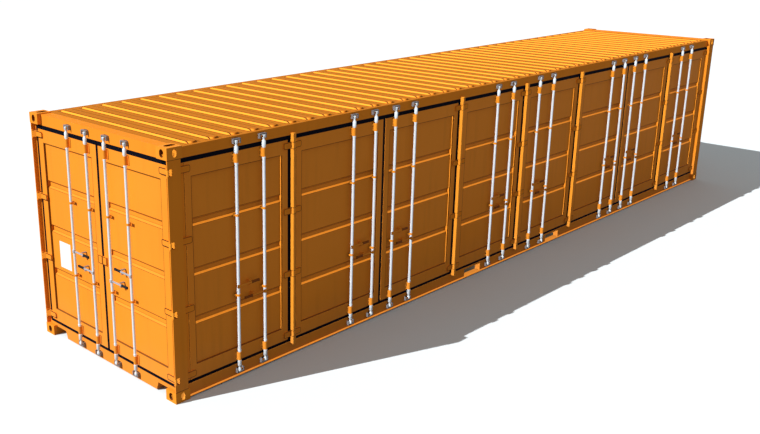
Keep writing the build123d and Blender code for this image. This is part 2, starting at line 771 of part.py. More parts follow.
def side_hinges():
    """Blades that join the side leaves to the posts and the fold hinge bars."""
    root = FOLD_BAR_WIDTH / 2
    reach = FOLD_GAP + SIDE_BLADE_REACH
    post = LENGTH / 2 - POST_SIDE_WIDTH
    tip = post - SIDE_POST_GAP - SIDE_BLADE_REACH
    pairs = []
    for x in UPRIGHTS:
        pairs += [(x - root, x - reach), (x + root, x + reach)]
    pairs += [(-post, -tip), (post, tip)]
    with BuildPart() as hinges:
        with BuildSketch(SIDE_FACE.elevation(FACE_SET)):
            for start, stop in pairs:
                with Locations(*[(0, z) for z in HINGE_HEIGHTS]):
                    Polygon(*blade_outline(start, stop), align=None)
        extrude(amount=BLADE_THICKNESS, dir=-SIDE_FACE.inward)
    write(hinges.part, "side_hinges")


# Locking gear. In plan "along" runs across the leaves and depth runs in from the outer face.

def hat_points():
    """The folded bracket that holds a bar, as (along, depth) pairs about the bar's station."""
    inner = BAR_RADIUS + BEARING_CLEARANCE
    outer = inner + BEARING_PLATE
    crown = BAR_INSET - inner
    foot = outer + BEARING_FOOT
    half = [
        (foot, FACE_SET),
        (foot, FACE_SET - BEARING_PLATE),
        (outer, FACE_SET - BEARING_PLATE),
        (outer, crown - BEARING_PLATE),
    ]
    left = [(-along, depth) for along, depth in reversed(half)]
    hollow = [(-inner, FACE_SET), (-inner, crown), (inner, crown), (inner, FACE_SET)]
    return half + left + hollow


def bearings(face, stations, heights, name):
    """Brackets for several bars, long ones near the bars' ends and short ones between."""
    with BuildPart() as brackets:
        for z, height in heights:
            with BuildSketch(face.plan(z - height / 2)):
                with Locations(*[(station, 0) for station in stations]):
                    Polygon(*hat_points(), align=None)
            extrude(amount=height, dir=UP)
    write(brackets.part, name)


SIDE_BEARINGS = (
    (TOP_BEARING_Z, LONG_BEARING),
    (SIDE_HIGH_MID_Z, SHORT_BEARING),
    (SIDE_LOW_MID_Z, SHORT_BEARING),
    (LOW_BEARING_Z, LONG_BEARING),
)
END_BEARINGS = (
    (TOP_BEARING_Z, LONG_BEARING),
    (HIGH_MID_BEARING_Z, SHORT_BEARING),
    (LOW_MID_BEARING_Z, SHORT_BEARING),
    (LOW_BEARING_Z, LONG_BEARING),
)


class LockingBar:
    """A turning bar with its cams, and the handle that lies towards its nose side."""

    def __init__(self, station, nose, handle_z):
        self.station = station
        self.nose = nose
        self.handle_z = handle_z

    def reach(self, start, stop):
        """Middle station of a piece between two distances from the bar, towards its nose."""
        return self.station + self.nose * (start + stop) / 2


def rectangles(face, z, height, centres, along, depth):
    """Add one block at each (station, depth) centre on a face, rising from height z."""
    with BuildSketch(face.plan(z)) as outline:
        with Locations(*centres):
            Rectangle(along, depth)
    extrude(outline.sketch, amount=height, dir=UP)


def bar_solids(face, bars):
    """Add bars with a cam block at each end, its nose on the handle's side."""
    with BuildSketch(face.plan(BAR_LOW + CAM_HEIGHT)) as rods:
        with Locations(*[(bar.station, BAR_INSET) for bar in bars]):
            Circle(BAR_RADIUS)
    extrude(rods.sketch, amount=BAR_HIGH - BAR_LOW - 2 * CAM_HEIGHT, dir=UP)
    centres = [(bar.reach(-CAM_TAIL, CAM_NOSE), BAR_INSET) for bar in bars]
    for z in (BAR_LOW, BAR_HIGH - CAM_HEIGHT):
        rectangles(face, z, CAM_HEIGHT, centres, CAM_TAIL + CAM_NOSE, CAM_THICKNESS)


def handle_solids(face, bars):
    """Add a hub, a flat lever and a thicker grip for each bar."""
    middle = HANDLE_SET + HANDLE_THICKNESS / 2
    grip_start = HANDLE_LENGTH - GRIP_LENGTH
    for z in sorted({bar.handle_z for bar in bars}):
        level = [bar for bar in bars if bar.handle_z == z]
        levers = [(bar.reach(0, grip_start), middle) for bar in level]
        grips = [(bar.reach(grip_start, HANDLE_LENGTH), middle) for bar in level]
        hubs = [(bar.station, (HUB_SET + BAR_INSET) / 2) for bar in level]
        rectangles(face, z - HANDLE_HEIGHT / 2, HANDLE_HEIGHT, levers, grip_start, HANDLE_THICKNESS)
        rectangles(face, z - GRIP_HEIGHT / 2, GRIP_HEIGHT, grips, GRIP_LENGTH, GRIP_THICKNESS)
        rectangles(face, z - HUB_HEIGHT / 2, HUB_HEIGHT, hubs, 2 * HUB_HALF, BAR_INSET - HUB_SET)


def keeper_outline(nose, top):
    """Corners of a U cradle about the bar's station, opening down when it is a top one."""
    near = CAM_NOSE + KEEPER_GAP
    far = CAM_TAIL + KEEPER_GAP
    low = -near if nose < 0 else -far
    high = near if nose > 0 else far
    bridge = BAR_HIGH + KEEPER_GAP if top else BAR_LOW - KEEPER_GAP
    up = 1 if top else -1
    mouth = bridge + up * (KEEPER_BRIDGE - KEEPER_HEIGHT)
    return [
        (low - KEEPER_CHEEK, mouth),
        (low - KEEPER_CHEEK, bridge + up * KEEPER_BRIDGE),
        (high + KEEPER_CHEEK, bridge + up * KEEPER_BRIDGE),
        (high + KEEPER_CHEEK, mouth),
        (high, mouth),
        (high, bridge),
        (low, bridge),
        (low, mouth),
    ]


def keepers(face, bars, name):
    """The cradles on the frame that the cams turn in, open outward and towards the leaf."""
    with BuildPart() as cradles:
        with BuildSketch(face.elevation(FACE_SET)):
            for nose in (-1, 1):
                stations = [(bar.station, 0) for bar in bars if bar.nose == nose]
                with Locations(*stations):
                    Polygon(*keeper_outline(nose, True), align=None)
                    Polygon(*keeper_outline(nose, False), align=None)
        extrude(amount=FACE_SET - KEEPER_SET, dir=-face.inward)
    write(cradles.part, name)


def catches(face, bars, name):
    """Two ears on the leaf for each bar, above and below its stowed handle."""
    lift = HANDLE_HEIGHT / 2 + CATCH_GAP + CATCH_EAR / 2
    places = []
    for bar in bars:
        station = bar.reach(CATCH_PLACE, CATCH_PLACE)
        places += [(station, bar.handle_z - lift), (station, bar.handle_z + lift)]
    with BuildPart() as ears:
        with BuildSketch(face.elevation(FACE_SET + INFILL_SET)):
            with Locations(*places):
                Rectangle(CATCH_WIDTH, CATCH_EAR)
        extrude(amount=FACE_SET + INFILL_SET - CATCH_SET, dir=-face.inward)
    write(ears.part, name)


def side_gear():
    """Bars, handles, brackets and keepers of the side doors."""
    bars = []
    for index, station in enumerate(SIDE_BARS):
        first = index % 2 == 0
        bars.append(LockingBar(station, 1 if first else -1,
                               SIDE_HANDLE_HIGH_Z if first else SIDE_HANDLE_LOW_Z))
    with BuildPart() as rods:
        bar_solids(SIDE_FACE, bars)
        handle_solids(SIDE_FACE, bars)
    write(rods.part, "side_locking_bars")
    bearings(SIDE_FACE, SIDE_BARS, SIDE_BEARINGS, "side_bearings")
    keepers(SIDE_FACE, bars, "side_keepers")
    catches(SIDE_FACE, bars, "side_handle_catches")


# Cargo doors at the end

def end_leaf(side, name):
    """One cargo door leaf with its hinge blades, knuckles and half of the seam's lap plate."""
    outer = WIDTH / 2 - END_LEAF_EDGE
    low, high = (SEAM_HALF, outer) if side > 0 else (-outer, -SEAM_HALF)
    pin = side * (WIDTH / 2 - PIN_INSET)
    bend = side * (WIDTH / 2 - HINGE_BEND)
    blade = blade_outline(bend, pin - side * BLADE_REACH)
    strap = [
        (pin, PIN_INSET - KNUCKLE_RADIUS),
        (bend, FACE_SET - BLADE_THICKNESS),
        (bend, FACE_SET),
        (bend + side * HINGE_STEP, FACE_SET),
        (pin, PIN_INSET + KNUCKLE_RADIUS),
    ]
    with BuildPart() as door:
        add(leaf_solid(END_FACE, low, high, END_STILE))
        with BuildSketch(END_FACE.elevation(FACE_SET)):
            with Locations(*[(0, z) for z in HINGE_HEIGHTS]):
                Polygon(*blade, align=None)
        extrude(amount=BLADE_THICKNESS, dir=-END_FACE.inward)
        for z in HINGE_HEIGHTS:
            with BuildSketch(END_FACE.plan(z - BLADE_HEIGHT / 2)):
                with Locations((pin, PIN_INSET)):
                    Circle(KNUCKLE_RADIUS)
                Polygon(*strap, align=None)
            extrude(amount=BLADE_HEIGHT, dir=UP)
        with BuildSketch(END_FACE.elevation(FACE_SET)):
            with Locations((side * (SEAM_GAP + LAP_REACH) / 2, (LAP_LOW + LAP_HIGH) / 2)):
                Rectangle(LAP_REACH - SEAM_GAP, LAP_HIGH - LAP_LOW)
        extrude(amount=LAP_THICKNESS, dir=-END_FACE.inward)
    write(door.part, name)


def end_gasket(side, name):
    """The seal round one cargo door leaf."""
    outer = WIDTH / 2 - FLANGE_WIDTH - GASKET_GAP
    leaf_outer = WIDTH / 2 - END_LEAF_EDGE
    low_z, high_z = SILL_TOP + GASKET_GAP, HEADER_BOTTOM - GASKET_GAP
    with BuildPart() as gasket:
        with BuildSketch(END_FACE.elevation(FACE_SET + GASKET_SET)):
            with Locations((side * (SEAM_GAP + outer) / 2, (low_z + high_z) / 2)):
                Rectangle(outer - SEAM_GAP, high_z - low_z)
            with Locations((side * (SEAM_HALF + leaf_outer) / 2, LEAF_MIDDLE_Z)):
                Rectangle(leaf_outer - SEAM_HALF, LEAF_HEIGHT, mode=Mode.SUBTRACT)
        extrude(amount=GASKET_DEPTH, dir=END_FACE.inward)
    write(gasket.part, name)


def end_gear():
    """Bars, brackets, catches and keepers of the cargo doors."""
    every_bar = []
    for side, side_name in ((1, "left"), (-1, "right")):
        outer = LockingBar(side * END_BAR_OUTER, -side, HANDLE_HIGH_Z)
        inner = LockingBar(side * END_BAR_INNER, side, HANDLE_LOW_Z)
        every_bar += [outer, inner]
        for bar, bar_name in ((outer, "outer"), (inner, "inner")):
            with BuildPart() as rod:
                bar_solids(END_FACE, [bar])
                handle_solids(END_FACE, [bar])
            write(rod.part, f"end_bar_{side_name}_{bar_name}")
        stations = [outer.station, inner.station]
        bearings(END_FACE, stations, END_BEARINGS, f"end_bearings_{side_name}")
        catches(END_FACE, [outer, inner], f"handle_catches_{side_name}")
    keepers(END_FACE, every_bar, "end_keepers")


corner_fittings(0.0, 0.0, "corner_fittings_bottom")
corner_fittings(TOP_FITTING_Z, HEIGHT, "corner_fittings_top")
door_post(1, "post_door_left")
door_post(-1, "post_door_right")
blind_post(1, "post_blind_left")
blind_post(-1, "post_blind_right")
door_header()
door_sill()
blind_end_rails()
door_side_rails()
blind_side_rails()
blind_side_wall()
blind_end_wall()
roof_panel()
floor_boards()
cross_members()
fork_pockets()
side_leaves()
side_gaskets()
upright_bars([x for x in UPRIGHTS if x != 0.0], "fold_hinge_bars")
upright_bars([0.0], "centre_post")
side_hinges()
side_gear()
end_leaf(1, "end_leaf_left")
end_leaf(-1, "end_leaf_right")
end_gasket(1, "end_gasket_left")
end_gasket(-1, "end_gasket_right")
end_gear()
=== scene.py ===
"""Looks of a side-door shipping container: its finishes, locking gear, seams, seals and plate."""

import json
import logging
import math
from contextlib import contextmanager
from dataclasses import dataclass
from enum import Enum
from typing import Callable, Iterable, Iterator, Sequence

import bpy
from mathutils import Matrix, Vector


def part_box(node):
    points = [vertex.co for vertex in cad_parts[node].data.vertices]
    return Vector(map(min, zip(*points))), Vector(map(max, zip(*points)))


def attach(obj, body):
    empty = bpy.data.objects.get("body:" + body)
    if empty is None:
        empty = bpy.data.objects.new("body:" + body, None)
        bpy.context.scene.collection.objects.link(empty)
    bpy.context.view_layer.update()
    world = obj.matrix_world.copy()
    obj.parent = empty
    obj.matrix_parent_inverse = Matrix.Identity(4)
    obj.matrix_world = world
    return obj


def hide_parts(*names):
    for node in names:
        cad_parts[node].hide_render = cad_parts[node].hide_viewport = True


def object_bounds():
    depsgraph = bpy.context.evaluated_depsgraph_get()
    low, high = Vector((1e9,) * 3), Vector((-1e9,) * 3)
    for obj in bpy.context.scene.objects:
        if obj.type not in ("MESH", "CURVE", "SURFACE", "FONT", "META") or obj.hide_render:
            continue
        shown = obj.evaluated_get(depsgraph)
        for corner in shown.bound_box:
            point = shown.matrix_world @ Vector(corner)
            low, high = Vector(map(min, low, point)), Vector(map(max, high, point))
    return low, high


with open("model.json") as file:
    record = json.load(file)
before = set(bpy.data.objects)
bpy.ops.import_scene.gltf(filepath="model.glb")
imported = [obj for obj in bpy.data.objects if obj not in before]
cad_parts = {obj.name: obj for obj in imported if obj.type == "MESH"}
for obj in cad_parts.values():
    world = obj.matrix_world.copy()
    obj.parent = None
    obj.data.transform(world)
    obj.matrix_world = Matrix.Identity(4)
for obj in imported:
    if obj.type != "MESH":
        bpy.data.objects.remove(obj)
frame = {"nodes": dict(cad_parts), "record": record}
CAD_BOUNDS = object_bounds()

LOG = logging.getLogger("container")

PHOTO_WIDTH = 760
PHOTO_HEIGHT = 434
TOUCH = 1e-5
RING_SIDES = 24
ROD_SIDES = 20
CORNER_STEPS = 5
SHARP = math.radians(35)
LINE_RISE = 0.0008
COVER_RISE = 0.0014
HEAD_CHAMFER = 0.22
QUARTER = math.radians(90)
BOTH = (-1, 1)
HANDS = ((1, "left"), (-1, "right"))

Colour = tuple[float, float, float]
Point = tuple[float, float, float]
Pair = tuple[float, float]
Piece = bpy.types.Object
Material = bpy.types.Material
Socket = bpy.types.NodeSocket

LOW = Vector(CAD_BOUNDS[0])
HIGH = Vector(CAD_BOUNDS[1])


class Facing(Enum):
    """A wall that carries doors."""

    SIDE = "folding side doors"
    END = "cargo doors"

    def matrix(self, station: float = 0.0, z: float = 0.0, depth: float = 0.0) -> Matrix:
        """Placement of a piece modelled with local X right, Y up and Z out of the wall.

        Args:
            station: place along the wall, as X on the side and Y on the end.
            z: height of the local origin.
            depth: distance from the outer face of the box in to the local origin.

        Returns:
            The matrix that takes local points to the box's frame.
        """
        if self is Facing.SIDE:
            right, out, origin = (1, 0, 0), (0, -1, 0), (station, LOW.y + depth, z)
        else:
            right, out, origin = (0, -1, 0), (-1, 0, 0), (LOW.x + depth, station, z)
        turn = Matrix((right, (0, 0, 1), out)).transposed().to_4x4()
        return Matrix.Translation(origin) @ turn


class Layout:
    """Stations and sizes that several pieces share."""

    POST = 0.160
    EDGE = HIGH.x - POST
    START = LOW.x + POST
    BAY = ((HIGH.x - LOW.x) / 2 - POST) / 4
    SEAM = START + 2 * BAY
    BAR_SPACING = 0.367
    FOLD_TO_BAR = 0.420
    SEAM_TO_BAR = 0.1755
    CENTRE_TO_BAR = 0.326
    END_OUTER = 0.522
    END_INNER = 0.170
    BAR_INSET = 0.022
    TOP_BEARING = 2.352
    LOW_BEARING = 0.234
    HINGE_HEIGHTS = (0.237, 0.942, 1.647, 2.352)
    LEAF_LOW = 0.170
    LEAF_HIGH = 2.420
    SILL_TOP = 0.140
    HEADER_BOTTOM = 2.460
    FACE_SET = 0.046
    INFILL_SET = 0.020
    BLADE = 0.068
    BLADE_TIP = 0.018
    BLADE_THICKNESS = 0.012
    BLADE_FRONT = FACE_SET - BLADE_THICKNESS
    UPRIGHT_HALF = 0.014
    FOLD_GAP = 0.063
    POST_GAP = 0.068
    LIP = 0.007

    @staticmethod
    def folds() -> list[float]:
        """X of the five upright bars, the centre post among them."""
        near = [Layout.START + Layout.BAY, Layout.START + 3 * Layout.BAY]
        return near + [0.0] + [-x for x in reversed(near)]

    @staticmethod
    def side_bars() -> list[float]:
        """X of the sixteen locking bars, two on each leaf."""
        highs = (Layout.START + Layout.BAY - Layout.FOLD_TO_BAR, Layout.SEAM - Layout.SEAM_TO_BAR,
                 Layout.SEAM + Layout.SEAM_TO_BAR + Layout.BAR_SPACING, -Layout.CENTRE_TO_BAR)
        near = [x for high in highs for x in (high - Layout.BAR_SPACING, high)]
        return near + [-x for x in reversed(near)]

    @staticmethod
    def side_noses() -> list[tuple[float, int]]:
        """X of each side bar and the direction of its nose, which alternates."""
        return [(x, 1 if index % 2 == 0 else -1) for index, x in enumerate(Layout.side_bars())]


# Mesh tools: Blender's own operators, each on a clean selection.

def only(*objects: Piece) -> None:
    """Select these objects alone, with the last one active."""
    bpy.ops.object.select_all(action="DESELECT")
    for obj in objects:
        obj.select_set(True)
    bpy.context.view_layer.objects.active = objects[-1]


def fresh(operator: Callable, scale: Point = (1.0, 1.0, 1.0), **options: object) -> Piece:
    """A new object from a primitive's operator, with its place and scale put into its mesh."""
    bpy.ops.object.select_all(action="DESELECT")
    operator(**options)
    obj = bpy.context.object
    obj.scale = scale
    only(obj)
    bpy.ops.object.transform_apply(location=True, rotation=True, scale=True)
    return obj


@contextmanager
def editing(obj: Piece, wanted: Callable[..., bool] | None = None,
            edges: bool = False) -> Iterator[None]:
    """Edit mode on the active object.

    Args:
        obj: the active object.
        wanted: test of a vertex's place, or of both ends of an edge; none selects everything.
        edges: whether edges are tested and not vertices.
    """
    bpy.ops.object.mode_set(mode="EDIT")
    if wanted is None:
        bpy.ops.mesh.select_all(action="SELECT")
    else:
        bpy.ops.mesh.select_mode(type="EDGE" if edges else "VERT")
        bpy.ops.mesh.select_all(action="DESELECT")
        bpy.ops.object.mode_set(mode="OBJECT")
        points = obj.data.vertices
        for item in obj.data.edges if edges else points:
            ends = [points[index].co for index in item.vertices] if edges else [item.co]
            item.select = wanted(*ends)
        bpy.ops.object.mode_set(mode="EDIT")
    yield
    bpy.ops.object.mode_set(mode="OBJECT")


def extrude(x: float, y: float, z: float) -> None:
    """Extrude what is selected along a vector."""
    bpy.ops.mesh.extrude_region_move(TRANSFORM_OT_translate={"value": (x, y, z)})


def face_outward() -> None:
    """Turn all faces of the edited mesh outward."""
    bpy.ops.mesh.select_all(action="SELECT")
    bpy.ops.mesh.normals_make_consistent(inside=False)


def modify(obj: Piece, kind: str, **values: object) -> None:
    """Put a modifier with its values into an object's mesh."""
    modifier = obj.modifiers.new(kind, kind)
    for label, value in values.items():
        setattr(modifier, label, value)
    only(obj)
    bpy.ops.object.modifier_apply(modifier=modifier.name)


def rounded(obj: Piece, width: float, steps: int) -> None:
    """Round every sharp edge with so many segments."""
    modify(obj, "BEVEL", width=width, segments=steps, limit_method="ANGLE", angle_limit=SHARP)


def block(low: Point, high: Point, round_edges: float = 0.0, steps: int = 1) -> Piece:
    """A block between two corners, with its edges rounded in so many steps."""
    obj = fresh(bpy.ops.mesh.primitive_cube_add, Vector(high) - Vector(low), size=1.0,
                location=(Vector(low) + Vector(high)) / 2)
    if round_edges > 0:
        rounded(obj, round_edges, steps)
    return obj


def turned(profile: Sequence[Pair], sides: int = ROD_SIDES) -> Piece:
    """A closed round piece about the local Y axis.

    Args:
        profile: (radius, height) pairs from bottom to top.
        sides: corners in each ring.

    Returns:
        The new object.
    """
    obj = fresh(bpy.ops.mesh.primitive_circle_add, vertices=sides, radius=profile[0][0],
                fill_type="NGON", location=(0, 0, profile[0][1]))
    with editing(obj):
        for (radius, height), (next_radius, next_height) in zip(profile, profile[1:]):
            extrude(0, 0, next_height - height)
            scale = next_radius / radius
            bpy.ops.transform.resize(value=(scale, scale, 1.0), center_override=(0, 0, next_height))
        face_outward()
    obj.data.transform(Matrix.Rotation(-QUARTER, 4, "X"))
    return obj


def border(half_width: float, half_height: float, width: float, rise: float) -> Piece:
    """A strip of some width round a rectangle in local X and Y, standing up along Z."""
    obj = fresh(bpy.ops.mesh.primitive_plane_add, (half_width, half_height, 1.0), size=2.0)
    with editing(obj):
        bpy.ops.mesh.inset(thickness=width, depth=0.0)
        bpy.ops.mesh.delete(type="FACE")
        bpy.ops.mesh.select_all(action="SELECT")
        extrude(0, 0, rise)
        face_outward()
    return obj


def strap(length: float, height: float, thickness: float, tip: float) -> Piece:
    """A flat strap along local +X from the origin.

    Args:
        length: how far it reaches.
        height: its size along local Y, about the origin.
        thickness: how far it rises along local Z.
        tip: radius of the tip's two corners.

    Returns:
        The closed strap.
    """
    obj = block((0.0, -height / 2, 0.0), (length, height / 2, thickness))
    with editing(obj, lambda first, second: (
            abs(first.z - second.z) > thickness / 2 and first.x > length / 2), edges=True):
        bpy.ops.mesh.bevel(offset=tip, segments=CORNER_STEPS, affect="EDGES")
    return obj


def lined_straps(length: float, height: float, line: float) -> tuple[Piece, Piece]:
    """A thin dark strap in the shape of a hinge blade, and a cover that leaves its edge showing."""
    dark = strap(length, height, LINE_RISE, Layout.BLADE_TIP)
    return dark, strap(length - line, height - 2 * line, COVER_RISE, Layout.BLADE_TIP - line)


def sleeve(width: float, height: float, depth: float, wall: float) -> Piece:
    """A thin sleeve that lines a slot, sunk from the origin along local -Z.

    Args:
        width: size of the slot along local X, round at both ends.
        height: size of the slot along local Y.
        depth: length of the sleeve.
        wall: thickness of its wall.

    Returns:
        The closed sleeve.
    """
    obj = fresh(bpy.ops.mesh.primitive_circle_add, vertices=RING_SIDES, radius=width / 2)
    for side in BOTH:
        with editing(obj, lambda point: point.y * side > TOUCH):
            bpy.ops.transform.translate(value=(0, side * (height - width) / 2, 0))
    with editing(obj):
        extrude(0, 0, -depth)
        face_outward()
    first = obj.data.polygons[0]
    if first.normal.dot(first.center.xy.to_3d()) < 0:
        obj.data.flip_normals()
    modify(obj, "SOLIDIFY", thickness=wall, offset=-1.0)
    return obj


def hexagon(radius: float, height: float) -> Piece:
    """A hexagonal bolt head that rises along local Z, with a chamfered top."""
    head = fresh(bpy.ops.mesh.primitive_cylinder_add, vertices=6, radius=radius, depth=height,
                 location=(0, 0, height / 2))
    with editing(head, lambda point: point.z > height / 2):
        bpy.ops.mesh.bevel(offset=height * HEAD_CHAMFER, segments=1, affect="EDGES")
    return head


def flip(side: float) -> Matrix:
    """A mirror across local X for side -1, and nothing for side 1."""
    return Matrix.Diagonal((side, 1, 1, 1))


def moved(obj: Piece, place: Matrix) -> Piece:
    """Move an object's mesh to a place, its faces still outward where that mirrors it."""
    obj.data.transform(place)
    if place.determinant() < 0:
        obj.data.flip_normals()
    return obj


def joined(pieces: Sequence[Piece], name: str) -> Piece:
    """One object out of several, under a new name."""
    only(*pieces)
    if len(pieces) > 1:
        bpy.ops.object.join()
    whole = bpy.context.view_layer.objects.active
    whole.name = whole.data.name = name
    return whole


def repeated(pattern: Piece, places: Iterable[Matrix], name: str) -> Piece:
    """Copies of a pattern at several places, as one object; the pattern itself goes."""
    copies = []
    for place in places:
        twin = pattern.copy()
        twin.data = pattern.data.copy()
        bpy.context.scene.collection.objects.link(twin)
        copies.append(moved(twin, place))
    bpy.data.objects.remove(pattern)
    return joined(copies, name)


def smooth(obj: Piece, angle: float = 40.0) -> Piece:
    """Shade smooth across edges that are flatter than an angle in degrees."""
    only(obj)
    bpy.ops.object.shade_smooth_by_angle(angle=math.radians(angle))
    return obj


# Finishes

class Wiring:
    """A shader node tree and the short ways to fill it.

    Inputs are named with _ for a space and fed from a socket, a number, a colour or a vector.
    """

    def __init__(self, tree: bpy.types.NodeTree) -> None:
        """Start on a tree."""
        self.tree = tree

    def feed(self, socket: Socket, value: object) -> None:
        """Give an input its value."""
        if isinstance(value, Socket):
            self.tree.links.new(value, socket)
        else:
            socket.default_value = value

    def fill(self, node: bpy.types.Node, **inputs: object) -> bpy.types.Node:
        """Feed a node's inputs by name."""
        for label, value in inputs.items():
            self.feed(node.inputs[label.replace("_", " ")], value)
        return node

    def node(self, kind: str, **inputs: object) -> bpy.types.Node:
        """Add a node, its kind named without the prefix."""
        return self.fill(self.tree.nodes.new(f"ShaderNode{kind}"), **inputs)

    def noise(self, **inputs: object) -> Socket:
        """Add a noise texture and give its mask."""
        return self.node("TexNoise", **inputs).outputs["Fac"]

    def spread(self, **inputs: object) -> Socket:
        """Add a map from one range to another and give its result."""
        return self.node("MapRange", **inputs).outputs["Result"]

    def math(self, operation: str, *values: object, clamp: bool = False) -> Socket:
        """Add a Math node on sockets or numbers and give its result."""
        node = self.node("Math")
        node.operation = operation
        node.use_clamp = clamp
        for socket, value in zip(node.inputs, values):
            self.feed(socket, value)
        return node.outputs[0]

    def place(self) -> Socket:
        """The object's own coordinates."""
        return self.node("TexCoord").outputs["Object"]


def effect(output: str, **inputs: float) -> Callable:
    """Make a shared node group, built once, out of a function that wires it.

    Args:
        output: label of the group's output.
        inputs: labels and first values of its inputs.

    Returns:
        A decorator for a function that takes the wiring, the coordinates and a socket for each
        input, and gives the socket of the result.
    """
    def decorate(wire: Callable[..., Socket]) -> Callable[[], bpy.types.NodeTree]:
        """Put the wiring function behind one that gives its group."""
        def group() -> bpy.types.NodeTree:
            """Give the group, and build it the first time."""
            if wire.__name__ in bpy.data.node_groups:
                return bpy.data.node_groups[wire.__name__]
            tree = bpy.data.node_groups.new(wire.__name__, "ShaderNodeTree")
            kind = "NodeSocketFloat"
            for label, value in inputs.items():
                socket = tree.interface.new_socket(name=label, in_out="INPUT", socket_type=kind)
                socket.default_value = value
            tree.interface.new_socket(name=output, in_out="OUTPUT", socket_type=kind)
            given = tree.nodes.new("NodeGroupInput")
            result = tree.nodes.new("NodeGroupOutput")
            wiring = Wiring(tree)
            sockets = [given.outputs[label] for label in inputs]
            wiring.feed(result.inputs[output], wire(wiring, wiring.place(), *sockets))
            return tree
        group.__doc__ = wire.__doc__
        return group
    return decorate


@effect("Mask", Scale=1.5, Contrast=0.4)
def mottle(wiring: Wiring, place: Socket, scale: Socket, contrast: Socket) -> Socket:
    """Slow cloudy variation with a chosen patch size."""
    noise = wiring.noise(Vector=place, Scale=scale, Detail=4.0, Roughness=0.55)
    gain = wiring.math("MULTIPLY", wiring.math("SUBTRACT", noise, 0.5), contrast)
    return wiring.math("ADD", gain, 0.5, clamp=True)


@effect("Mask", Scale=9.0, Amount=0.3)
def rain_streaks(wiring: Wiring, place: Socket, scale: Socket, amount: Socket) -> Socket:
    """Faint streaks that run straight down."""
    stretch = wiring.node("Mapping", Vector=place, Scale=(1.0, 1.0, 0.08))
    noise = wiring.noise(Vector=stretch.outputs["Vector"], Scale=scale, Detail=3.0)
    return wiring.math("MULTIPLY", wiring.spread(Value=noise, From_Min=0.52, From_Max=0.78), amount)


@effect("Mask", Height=0.5, Amount=0.3)
def road_dust(wiring: Wiring, place: Socket, height: Socket, amount: Socket) -> Socket:
    """Dust that thins out upwards from the ground."""
    split = wiring.node("SeparateXYZ", Vector=place)
    noise = wiring.noise(Vector=place, Scale=3.0, Detail=5.0)
    fade = wiring.spread(
        Value=split.outputs["Z"], From_Min=0.0, From_Max=height, To_Min=1.0, To_Max=0.0)
    return wiring.math("MULTIPLY", wiring.math("MULTIPLY", fade, noise), amount)


@effect("Height", Scale=160.0, Stretch=1.0)
def fine_grain(wiring: Wiring, place: Socket, scale: Socket, stretch: Socket) -> Socket:
    """Fine surface relief, stretched along one axis or even."""
    split = wiring.node("SeparateXYZ", Vector=place).outputs
    merge = wiring.node("CombineXYZ", X=split["X"], Y=split["Y"],
                        Z=wiring.math("MULTIPLY", split["Z"], stretch))
    return wiring.noise(Vector=merge.outputs[0], Scale=scale, Detail=3.0)


@effect("Mask", Pitch=0.2656, Base=0.081, Top=0.0480, Width=0.0055, Reach=1.13)
def ridge_lines(wiring: Wiring, place: Socket, pitch: Socket, base: Socket, top: Socket,
                width: Socket, reach: Socket) -> Socket:
    """Grime that settles along the bends of evenly spaced cross ridges."""
    step = wiring.math
    pitches_to_positive, half = 60.0, 0.5
    split = wiring.node("SeparateXYZ", Vector=place).outputs
    shifted = step("ADD", split["X"], step("MULTIPLY", pitch, pitches_to_positive))
    nearest = step("PINGPONG", shifted, step("MULTIPLY", pitch, half))
    from_base, from_top = (
        step("ABSOLUTE", step("SUBTRACT", nearest, bend)) for bend in (base, top))
    close = step("LESS_THAN", step("MINIMUM", from_base, from_top), width)
    inside = step("LESS_THAN", step("ABSOLUTE", split["Y"]), reach)
    return step("MULTIPLY", close, inside)


class Surface(Wiring):
    """A material under construction, with its Principled shader."""

    def __init__(self, name: str) -> None:
        """Start the material with a plain shader."""
        self.material = bpy.data.materials.new(name)
        self.material.use_nodes = True
        super().__init__(self.material.node_tree)
        self.shader = next(node for node in self.tree.nodes if node.type == "BSDF_PRINCIPLED")

    def effect(self, tree: bpy.types.NodeTree, **values: float) -> Socket:
        """Place an effect group with its values and give its output."""
        node = self.node("Group")
        node.node_tree = tree
        return self.fill(node, **values).outputs[0]

    def grain(self, scale: float, stretch: float = 1.0) -> Socket:
        """Place the fine relief."""
        return self.effect(fine_grain(), Scale=scale, Stretch=stretch)

    def mix(self, mask: Socket, first: object, second: object) -> Socket:
        """Blend two colours, or sockets of colours, by a mask from 0 to 1."""
        node = self.node("Mix")
        node.data_type = "RGBA"
        self.feed(node.inputs["Factor"], mask)
        for socket, value in ((node.inputs[6], first), (node.inputs[7], second)):
            self.feed(socket, value if isinstance(value, Socket) else (*value, 1.0))
        return node.outputs[2]

    def finish(self, colour: Socket, mask: Socket, rough: Pair, relief: Socket, depth: float,
               **inputs: float) -> Material:
        """Feed the shader.

        Args:
            colour: socket of the base colour.
            mask: what varies the roughness.
            rough: the roughness where the mask is 0 and where it is 1.
            relief: height of the fine relief.
            depth: how deep the relief is.
            inputs: constants for other inputs of the shader.

        Returns:
            The finished material.
        """
        bump = self.node("Bump", Distance=depth, Strength=1.0, Height=relief)
        self.fill(self.shader, Base_Color=colour, Normal=bump.outputs["Normal"],
                  Roughness=self.spread(Value=mask, To_Min=rough[0], To_Max=rough[1]), **inputs)
        return self.material


@dataclass(frozen=True)
class Finish:
    """A finish whose two tones change slowly into each other."""

    name: str
    base: Colour
    deep: Colour

    def start(self, scale: float, contrast: float) -> tuple[Surface, Socket, Socket]:
        """Open the material, and give it with its mottle and the tones blended by that."""
        surface = Surface(self.name)
        mask = surface.effect(mottle(), Scale=scale, Contrast=contrast)
        return surface, mask, surface.mix(mask, self.base, self.deep)

    def shaded(self, share: float) -> Colour:
        """The deep tone, darker."""
        return tuple(part * share for part in self.deep)


